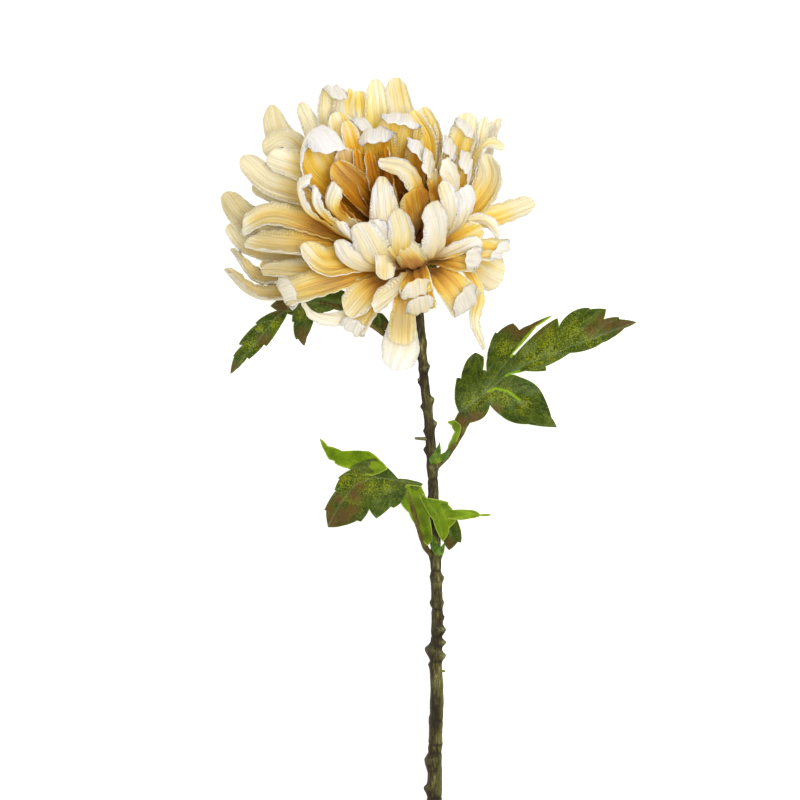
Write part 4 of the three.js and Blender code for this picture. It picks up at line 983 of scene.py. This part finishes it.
def leaf_sheet(name, piece, marks, turned, materials):
    """One piece of a leaf as a thin closed sheet with sunken veins."""
    border = leaf_border(piece["outline"])
    closed = np.vstack([border, border[:1]])
    low, high = border.min(axis=0), border.max(axis=0)
    grid = []
    for row, y in enumerate(np.arange(low[1], high[1], LEAF_STEP * 0.87)):
        for x in np.arange(low[0] + (row % 2) * LEAF_STEP / 2, high[0], LEAF_STEP):
            grid.append((x, y))
    grid = np.array(grid)
    grid = grid[away_from(grid, [closed]) > LEAF_STEP * 0.55]
    count = len(border)
    points = [Vector(p) for p in np.vstack([border, grid]).tolist()]
    ring = [(k, (k + 1) % count) for k in range(count)]
    flat, _, faces, *_ = delaunay_2d_cdt(points, ring, [], 1, 1e-6)
    # The points outside the outline belong to no face and are dropped.
    used, corners = np.unique(np.array(faces), return_inverse=True)
    flat = np.array([tuple(p) for p in flat])[used]
    faces = corners.reshape(-1, 3).tolist()
    x, y = flat[:, 0], flat[:, 1]
    vein = away_from(flat, marks["veins"])
    edge = away_from(flat, [closed])
    up = -1.0 if turned else 1.0
    height = leaf_height(piece, x, y) + up * (VEIN_DEPTH * eased(vein, 0, VEIN_REACH) - VEIN_DROP)
    # Broad buckles away from the edge, small ones all over, and a wavy edge.
    level = np.column_stack([x, y, np.zeros(len(x))])
    height = height + 0.45 * rough(level, 9.0, 5.0) * eased(edge, 0, 3) + 0.16 * rough(level, 2.2, 2.0)
    height = height + 0.5 * rough(level, 6.0, 9.0) * (1 - eased(edge, 0, 4))
    sheet = mesh_object(name, np.column_stack([HEAD[0] + x, HEAD[1] + y, height]), faces)
    values = (
        vein, away_from(flat, marks["veins"][: marks["ribs"]]), edge, near_spots(flat, marks["browned_and_shaded"]),
        near_spots(flat, marks["speckled"]), 1 - eased(away_from(flat, marks["bright"]), 0.1, 0.8),
    )
    for key, value in zip(LEAF_ATTRIBUTES, values, strict=True):
        write_attribute(sheet, key, value)
    dressed(sheet, *materials)
    for face in sheet.data.polygons:
        face.material_index = 1 if turned else 0
    return sheet


def leaf(name, shape, materials):
    """A leaf of one or more sheets, some of them turned over."""
    upper, under = materials
    marks = LEAF_MARKS[name]
    sides = (upper, under, upper)  # a sheet that is turned over starts at the second
    sheets = [
        leaf_sheet(name, piece, marks, number in marks["turned"], sides)
        for number, piece in enumerate(shape["pieces"])
    ]
    return thickened(joined(name, sheets), LEAF_THICKNESS, backing=1)


def stalk(name, shape, material):
    """The stalk of a leaf, which fades into the midrib."""
    points = [spot(p) for p in shape["stalk"]["points"]]
    thick, thin = shape["stalk"]["thick"], shape["stalk"]["thin"]

    def surface(share, angle, length):
        ripple = 0.08 * np.sin(share * length * 0.9) + 0.07 * np.cos(5 * angle)
        return thick + (thin - thick) * share + ripple

    return dressed(tube(name, points, 70, 18, surface), material)


def sprout(name, leaflets, material):
    """Young leaflets in the crook of a leaf stalk."""
    parts = []
    for root, tip, width in leaflets:
        surface, faces, u, v = leaflet(spot(root), spot(tip), width, np.array([0.2, -0.1, 1.0]))
        surface[:, 2] += 0.25 * np.cos(3 * math.pi * v) * np.sin(math.pi * u)
        part = thickened(mesh_object(name, surface, faces), LEAF_THICKNESS)
        apply_modifier(part, "rounding", "SUBSURF", levels=1, render_levels=1)
        parts.append(part)
    return dressed(joined(name, parts), material)


def new_material(name):
    made = bpy.data.materials.new(name)
    made.use_nodes = True
    made.node_tree.nodes.clear()
    return made, made.node_tree


def add(tree, kind, inputs=None, output=0, stops=(), **settings):
    """Adds a node and gives one of its outputs. Inputs are values or other nodes' outputs."""
    node = tree.nodes.new(kind)
    for key, value in settings.items():
        setattr(node, key, value)
    for key, value in (inputs or {}).items():
        if isinstance(value, bpy.types.NodeSocket):
            tree.links.new(node.inputs[key], value)
        else:
            node.inputs[key].default_value = value
    for number, (place, code) in enumerate(stops):
        if number >= len(node.color_ramp.elements):
            node.color_ramp.elements.new(place)
        node.color_ramp.elements[number].position = place
        node.color_ramp.elements[number].color = linear(code)
    return node.outputs[output] if node.outputs else node


MATH = "ShaderNodeMath"
RANGE = "ShaderNodeMapRange"  # sockets 1 and 2 are the ends it takes, 3 and 4 what it gives there
ATTRIBUTE = "ShaderNodeAttribute"
NOISE = "ShaderNodeTexNoise"
RAMP = "ShaderNodeValToRGB"
BUMP = "ShaderNodeBump"
PLACE = "ShaderNodeTexCoord"
PRINCIPLED = "ShaderNodeBsdfPrincipled"
OUTPUT = "ShaderNodeOutputMaterial"
MIX = dict(kind="ShaderNodeMix", output=2, data_type="RGBA")
FACTOR, FIRST, SECOND = 0, 6, 7  # sockets of a colour mix


def petal_cloth(name, stops, deep_reach, deep_colour, amber_colour, aged_and_shade_colour, valley_shade_colour, golden):
    """Polyester petal cloth, pressed between hot moulds: matt and slightly translucent.

    Fine ribs run along it, its margin is crimped, and the dye is wiped on from the base.
    """
    made, tree = new_material(name)
    dye, side, reach, heart, margin, seed, aged_and_shaded, amber = (
        add(tree, ATTRIBUTE, output="Fac", attribute_name=key) for key in PETAL_ATTRIBUTES
    )
    # Streaks about 1 mm wide and 15 mm long, different on each petal.
    across = add(tree, MATH, {0: side, 1: 1.1}, operation="MULTIPLY")
    down = add(tree, MATH, {0: reach, 1: 0.07}, operation="MULTIPLY")
    apart = add(tree, MATH, {0: seed, 1: 90.0}, operation="MULTIPLY")
    place = add(tree, "ShaderNodeCombineXYZ", {"X": across, "Y": down, "Z": apart})
    streaks = add(tree, NOISE, {"Vector": place, "Scale": 1.0, "Detail": 3.0, "Roughness": 0.6})
    centred = add(tree, MATH, {0: streaks, 1: 0.5}, operation="SUBTRACT")
    near = add(tree, RANGE, {"Value": heart, 1: GOLDEN_REACH[0], 2: GOLDEN_REACH[1], 3: golden, 4: 0.0})
    run = add(tree, MATH, {0: dye, 1: near}, operation="SUBTRACT")
    run = add(tree, MATH, {0: centred, 1: 0.5, 2: run}, operation="MULTIPLY_ADD", use_clamp=True)
    colour = add(tree, RAMP, {"Fac": run}, stops=stops)
    warm = add(tree, MATH, {0: near, 1: amber}, operation="MULTIPLY")
    warm = add(tree, MATH, {0: warm, 1: 2.5}, operation="MULTIPLY", use_clamp=True)
    colour = add(tree, inputs={FACTOR: warm, FIRST: colour, SECOND: linear(HEART_TINT)}, **MIX)
    # Deep amber near the heart: partly the dye of the heart and partly painted shade in its depths.
    depth = add(tree, RANGE, {"Value": heart, 1: DEEP_START, 2: DEEP_START + deep_reach, 3: 0.85, 4: 0.0})
    deep = add(tree, inputs={FACTOR: amber, FIRST: linear(deep_colour), SECOND: linear(amber_colour)}, **MIX)
    colour = add(tree, inputs={FACTOR: depth, FIRST: colour, SECOND: deep}, **MIX)
    # Towards a greyish beige where the petals are beige: partly the cloth's own tone and partly painted
    # shade.
    colour = add(tree, inputs={FACTOR: aged_and_shaded, FIRST: colour, SECOND: linear(aged_and_shade_colour)}, **MIX)
    # Ribs with darker lines painted as shade in the valleys between them, and crimps along the margin.
    ribs = add(tree, MATH, {0: side, 1: 2 * math.pi / RIB_SPACING}, operation="MULTIPLY")
    ribs = add(tree, MATH, {0: streaks, 1: 5.0, 2: ribs}, operation="MULTIPLY_ADD")
    ribs = add(tree, MATH, {0: ribs}, operation="SINE")
    lines = add(tree, RANGE, {"Value": ribs, 1: -0.3, 2: -1.0, 3: 0.0, 4: 0.1})
    colour = add(tree, inputs={FACTOR: lines, FIRST: colour, SECOND: linear(valley_shade_colour)}, **MIX)
    crimps = add(tree, MATH, {0: reach, 1: 2 * math.pi / CRIMP_SPACING}, operation="MULTIPLY")
    crimps = add(tree, MATH, {0: streaks, 1: 16.0, 2: crimps}, operation="MULTIPLY_ADD")
    crimps = add(tree, MATH, {0: crimps}, operation="SINE")
    crimps = add(tree, MATH, {0: crimps, 1: margin}, operation="MULTIPLY")
    height = add(tree, MATH, {0: ribs, 1: 0.22}, operation="MULTIPLY")
    height = add(tree, MATH, {0: crimps, 1: 0.6, 2: height}, operation="MULTIPLY_ADD")
    height = add(tree, MATH, {0: streaks, 1: 1.4, 2: height}, operation="MULTIPLY_ADD")
    bump = add(tree, BUMP, {"Height": height, "Strength": 1.0, "Distance": 0.5 * MM})
    shader = add(tree, PRINCIPLED, {
        "Base Color": colour, "Normal": bump, "Roughness": 0.68, "IOR": 1.5, "Specular IOR Level": 0.2,
        "Sheen Weight": 0.05, "Subsurface Weight": 0.75, "Subsurface Radius": (2.0 * MM, 1.9 * MM, 1.6 * MM),
        "Subsurface Scale": 1.0,
    })
    add(tree, OUTPUT, {"Surface": shader})
    return made


def leaf_cloth(name, stops, speck, painted_sheen, brown, highlight_colour, vein_colour, rim_highlight_colour, roughness):
    """Polyester leaf cloth, printed and coated with latex: satin, with a pressed net of fine veins."""
    made, tree = new_material(name)
    vein, rib, edge, browned_and_shaded, speckled, bright = (
        add(tree, ATTRIBUTE, output="Fac", attribute_name=key) for key in LEAF_ATTRIBUTES
    )
    place = add(tree, PLACE, output="Object")
    # Cloudy print with patches about 7 mm wide.
    clouds = add(tree, NOISE, {"Vector": place, "Scale": 150.0, "Detail": 6.0, "Roughness": 0.72})
    colour = add(tree, RAMP, {"Fac": clouds}, stops=stops)
    # Specks about 0.7 mm wide, thick in some patches and thin elsewhere.
    specks = add(tree, NOISE, {"Vector": place, "Scale": 1300.0, "Detail": 2.0, "Roughness": 0.7})
    least = add(tree, MATH, {0: speckled, 1: -0.17, 2: 0.59}, operation="MULTIPLY_ADD")
    most = add(tree, MATH, {0: least, 1: 0.12}, operation="ADD")
    amount = add(tree, RANGE, {"Value": specks, 1: least, 2: most, 3: 0.0, 4: 0.55})
    colour = add(tree, inputs={FACTOR: amount, FIRST: colour, SECOND: linear(speck)}, **MIX)
    # Paler bands about 2 mm wide that follow the veins, a painted sheen.
    wide = add(tree, MATH, {0: vein, 1: 0.45}, operation="MULTIPLY")
    wide = add(tree, "ShaderNodeCombineXYZ", {"X": wide})
    bands = add(
        tree, "ShaderNodeVectorMath", {0: place, 1: (90.0, 90.0, 90.0), 2: wide}, operation="MULTIPLY_ADD"
    )
    bands = add(tree, NOISE, {"Vector": bands, "Scale": 1.0, "Detail": 3.0})
    bands = add(tree, RANGE, {"Value": bands, 1: 0.5, 2: 0.72, 3: 0.0, 4: 0.45})
    colour = add(tree, inputs={FACTOR: bands, FIRST: colour, SECOND: linear(painted_sheen)}, **MIX)
    # Brown patches, and painted shade on the wings of the lower leaf.
    ragged = add(tree, MATH, {0: clouds, 1: 0.5}, operation="SUBTRACT")
    ragged = add(tree, MATH, {0: ragged, 1: 1.1, 2: browned_and_shaded}, operation="MULTIPLY_ADD")
    patch = add(tree, RANGE, {"Value": ragged, 1: 0.15, 2: 0.95, 3: 0.0, 4: 0.8})
    colour = add(tree, inputs={FACTOR: patch, FIRST: colour, SECOND: linear(brown)}, **MIX)
    # The midribs are about 0.8 mm wide and pale, the veins faint, and the edge is paler, a painted rim
    # highlight.
    line = add(tree, RANGE, {"Value": vein, 1: 0.1, 2: 0.6, 3: 0.16, 4: 0.0})
    broad = add(tree, RANGE, {"Value": rib, 1: 0.15, 2: 0.65, 3: 0.36, 4: 0.0})
    rim = add(tree, RANGE, {"Value": edge, 1: 0.1, 2: 0.7, 3: 0.6, 4: 0.0})
    colour = add(tree, inputs={FACTOR: rim, FIRST: colour, SECOND: linear(rim_highlight_colour)}, **MIX)
    line = add(tree, MATH, {0: line, 1: broad}, operation="MAXIMUM")
    colour = add(tree, inputs={FACTOR: line, FIRST: colour, SECOND: linear(vein_colour)}, **MIX)
    # Painted highlight along some of the veins.
    colour = add(tree, inputs={FACTOR: bright, FIRST: colour, SECOND: linear(highlight_colour)}, **MIX)
    # A net of fine veins with meshes about 2 mm wide.
    net = add(
        tree, "ShaderNodeTexVoronoi", {"Vector": place, "Scale": 480.0}, output="Distance",
        feature="DISTANCE_TO_EDGE",
    )
    net = add(tree, RANGE, {"Value": net, 1: 0.0, 2: 0.12, 3: 0.0, 4: 1.0})
    grain = add(tree, NOISE, {"Vector": place, "Scale": 2500.0, "Detail": 2.0})
    height = add(tree, MATH, {0: grain, 1: 0.35, 2: net}, operation="MULTIPLY_ADD")
    bump = add(tree, BUMP, {"Height": height, "Strength": 0.5, "Distance": 0.18 * MM})
    shader = add(tree, PRINCIPLED, {
        "Base Color": colour, "Normal": bump, "Roughness": roughness, "IOR": 1.5, "Specular IOR Level": 0.14,
        "Subsurface Weight": 0.15, "Subsurface Radius": (1 * MM, 2 * MM, 0.5 * MM), "Subsurface Scale": 1.0,
    })
    add(tree, OUTPUT, {"Surface": shader})
    return made


def young_green(name, stops):
    """Soft green plastic, moulded: satin and a little translucent, with clouds about 3 mm wide."""
    made, tree = new_material(name)
    place = add(tree, PLACE, output="Object")
    clouds = add(tree, NOISE, {"Vector": place, "Scale": 320.0, "Detail": 3.0})
    colour = add(tree, RAMP, {"Fac": clouds}, stops=stops)
    grain = add(tree, NOISE, {"Vector": place, "Scale": 1500.0, "Detail": 3.0})
    bump = add(tree, BUMP, {"Height": grain, "Strength": 0.4, "Distance": 0.15 * MM})
    shader = add(tree, PRINCIPLED, {
        "Base Color": colour, "Normal": bump, "Roughness": 0.5, "IOR": 1.5, "Specular IOR Level": 0.4,
        "Subsurface Weight": 0.3, "Subsurface Radius": (1 * MM, 2 * MM, 0.5 * MM), "Subsurface Scale": 1.0,
    })
    add(tree, OUTPUT, {"Surface": shader})
    return made


def bark(name, stops, pith, scarred, dark_marks_and_shade):
    """Polyethylene over wire, moulded with the grain of bark: dull, with dark streaks along it."""
    made, tree = new_material(name)
    cut, scar, groove, shaded_flank, greened = (
        add(tree, ATTRIBUTE, output="Fac", attribute_name=key) for key in BARK_ATTRIBUTES
    )
    place = add(tree, PLACE, output="Object")
    # The grain is about 1 mm across and 6 mm along the stem, which runs along Y.
    drawn = add(tree, "ShaderNodeMapping", {"Vector": place, "Scale": (1.0, 0.17, 1.0)})
    streaks = add(tree, NOISE, {"Vector": drawn, "Scale": 900.0, "Detail": 5.0, "Roughness": 0.65})
    clouds = add(tree, NOISE, {"Vector": place, "Scale": 55.0, "Detail": 3.0})
    both = add(tree, MATH, {0: clouds, 1: 0.9, 2: -0.45}, operation="MULTIPLY_ADD")
    both = add(tree, MATH, {0: streaks, 1: both}, operation="ADD", use_clamp=True)
    colour = add(tree, RAMP, {"Fac": both}, stops=stops)
    green = add(tree, MATH, {0: greened, 1: 0.6}, operation="MULTIPLY")
    colour = add(tree, inputs={FACTOR: green, FIRST: colour, SECOND: linear(GREENED_TINT)}, **MIX)
    pits = add(tree, NOISE, {"Vector": place, "Scale": 1400.0, "Detail": 2.0})
    ragged = add(tree, MATH, {0: pits, 1: 0.5}, operation="SUBTRACT")
    pale = add(tree, MATH, {0: ragged, 1: 2.2, 2: scar}, operation="MULTIPLY_ADD")
    pale = add(tree, RANGE, {"Value": pale, 1: 0.3, 2: 1.0, 3: 0.0, 4: 0.6})
    colour = add(tree, inputs={FACTOR: pale, FIRST: colour, SECOND: linear(scarred)}, **MIX)
    dark = add(tree, RANGE, {"Value": pits, 1: 0.56, 2: 0.68, 3: 0.0, 4: 0.75})
    # Painted shade on the flanks away from the lit side, less where the bark is greener.
    side = add(tree, MATH, {0: ragged, 1: 1.2, 2: shaded_flank}, operation="MULTIPLY_ADD")
    side = add(tree, RANGE, {"Value": side, 1: 0.15, 2: 1.0, 3: 0.0, 4: 0.8})
    side = add(tree, MATH, {0: greened, 1: -0.5, 2: side}, operation="MULTIPLY_ADD", use_clamp=True)
    dark = add(tree, MATH, {0: dark, 1: side}, operation="MAXIMUM")
    dark = add(tree, MATH, {0: dark, 1: groove}, operation="MAXIMUM")
    colour = add(tree, inputs={FACTOR: dark, FIRST: colour, SECOND: linear(dark_marks_and_shade)}, **MIX)
    colour = add(tree, inputs={FACTOR: cut, FIRST: colour, SECOND: linear(pith)}, **MIX)
    bump = add(tree, BUMP, {"Height": streaks, "Strength": 1.0, "Distance": 0.9 * MM})
    shader = add(tree, PRINCIPLED, {
        "Base Color": colour, "Normal": bump, "Roughness": 0.66, "IOR": 1.5, "Specular IOR Level": 0.25,
    })
    add(tree, OUTPUT, {"Surface": shader})
    return made


def light_table(name):
    """Opal acrylic, lit from below: matt and almost evenly bright, so that shadows are soft."""
    made, tree = new_material(name)
    shader = add(tree, PRINCIPLED, {
        "Base Color": linear("#F6F5F3"), "Roughness": 0.8, "IOR": 1.49,
        "Emission Color": linear("#FBFCFF"), "Emission Strength": 0.6,
    })
    add(tree, OUTPUT, {"Surface": shader})
    return made


def camera():
    """Straight down on the flower, framed as in the photograph, from far enough for a flat look."""
    data = bpy.data.cameras.new("camera")
    data.lens = 400
    data.clip_end = 30
    made = bpy.data.objects.new("camera", data)
    bpy.context.scene.collection.objects.link(made)
    frame_width = 400.0
    look_at = Vector((-18.5, 257.5, 45.0)) * MM
    distance = frame_width * MM * data.lens / data.sensor_width
    made.location = look_at + Vector((0, 0, distance))
    bpy.context.scene.camera = made


def light(name, place, size, power):
    """A square white lamp that faces the bloom, at a place in metres from it."""
    data = bpy.data.lights.new(name, "AREA")
    data.size = size
    data.energy = power
    made = bpy.data.objects.new(name, data)
    made.location = Vector(HEAD * MM) + Vector(place)
    made.rotation_euler = (-Vector(place)).to_track_quat("-Z", "Y").to_euler()
    bpy.context.scene.collection.objects.link(made)


def surroundings():
    deselect()
    bpy.ops.mesh.primitive_plane_add(size=8, location=(0, 0.2, 0))
    floor = bpy.context.object
    floor.name = "floor"
    dressed(floor, light_table("opal acrylic light table"))
    world = bpy.data.worlds.new("studio")
    world.use_nodes = True
    background = world.node_tree.nodes["Background"]
    background.inputs["Color"].default_value = linear("#FFF8EA")
    background.inputs["Strength"].default_value = 0.5
    bpy.context.scene.world = world
    light("key", place=(0.14, 0.05, 1.2), size=0.35, power=10.8)
    light("fill", place=(-0.5, -0.6, 0.9), size=0.8, power=2.0)
    bpy.context.scene.view_settings.view_transform = "Standard"


def main():
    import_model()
    camera()
    inside = petal_cloth(
        "petal cloth inner face",
        [
            (0.0, "#BC8208"), (0.2, "#DEA416"), (0.4, "#F4C23C"), (0.6, "#FAD668"), (0.8, "#FBE8B4"),
            (1.0, "#FCF4DC"),
        ],
        deep_reach=22.0, deep_colour="#A27A04", amber_colour="#9A4A00", aged_and_shade_colour="#B7AE8E",
        valley_shade_colour="#C08C1C", golden=0.15,
    )
    outside = petal_cloth(
        "petal cloth outer face",
        [(0.0, "#B87A0A"), (0.2, "#E0B446"), (0.42, "#EDD698"), (0.66, "#EAE0C6"), (0.9, "#FCF9F4")],
        deep_reach=16.0, deep_colour="#AA8012", amber_colour="#A86414", aged_and_shade_colour="#C4BDA4",
        valley_shade_colour="#C9B684", golden=0.0,
    )
    upper = leaf_cloth(
        "leaf cloth upper side", [(0.32, "#1E2802"), (0.5, "#344404"), (0.68, "#545F0C")],
        speck="#9EA212", painted_sheen="#74844A", brown="#5E4020", highlight_colour="#88AC0E",
        vein_colour="#78855E", rim_highlight_colour="#5A6A26", roughness=0.5,
    )
    under = leaf_cloth(
        "leaf cloth underside", [(0.3, "#465E00"), (0.5, "#5E7800"), (0.7, "#7A9006")],
        speck="#94AA14", painted_sheen="#9AB428", brown="#4A5606", highlight_colour="#AAC03A",
        vein_colour="#92A634", rim_highlight_colour="#B4C85A", roughness=0.55,
    )
    green = young_green("moulded young green", [(0.3, "#365004"), (0.5, "#4C6A08"), (0.7, "#7A941A")])
    amber = young_green("unopened florets", [(0.3, "#7A3A08"), (0.5, "#A25A12"), (0.7, "#C98A28")])
    brown = bark(
        "moulded bark", [(0.34, "#241E0C"), (0.48, "#40371A"), (0.6, "#5E5A2C"), (0.74, "#8C8856")],
        pith="#B9B48A", scarred="#A9AC76", dark_marks_and_shade="#241C0C",
    )
    stalks = bark(
        "moulded leaf stalk", [(0.2, "#33260F"), (0.45, "#4E4019"), (0.7, "#6E6A2C")],
        pith="#9AA860", scarred="#9AA860", dark_marks_and_shade="#2C2410",
    )
    placed = [
        (row, width, cup, twist, point, [HEAD + np.array(p, float) for p in points])
        for row, width, cup, twist, point, *points in PETALS
    ]
    cloth = (inside, outside)
    finished(petals("petals_outer", [p for p in placed if p[0] < 2], cloth, 11), "petals", "bloom")
    finished(petals("petals_inner", [p for p in placed if p[0] >= 2], cloth, 12), "petals")
    finished(petals("petals_behind", ring_petals(), cloth, 13), "petals")
    finished(receptacle(amber), "petals")
    finished(calyx(green), "young_green", "calyx")
    finished(stem(brown), "bark", "stem")
    for name, shape in LEAVES.items():
        finished(leaf(name, shape, (upper, under)), "leaf_green", name)
        finished(stalk(name.replace("leaf", "stalk"), shape, stalks), "bark")
    for name, leaflets in SPROUTS.items():
        finished(sprout(name, leaflets, green), "young_green", name)
    surroundings()


main()
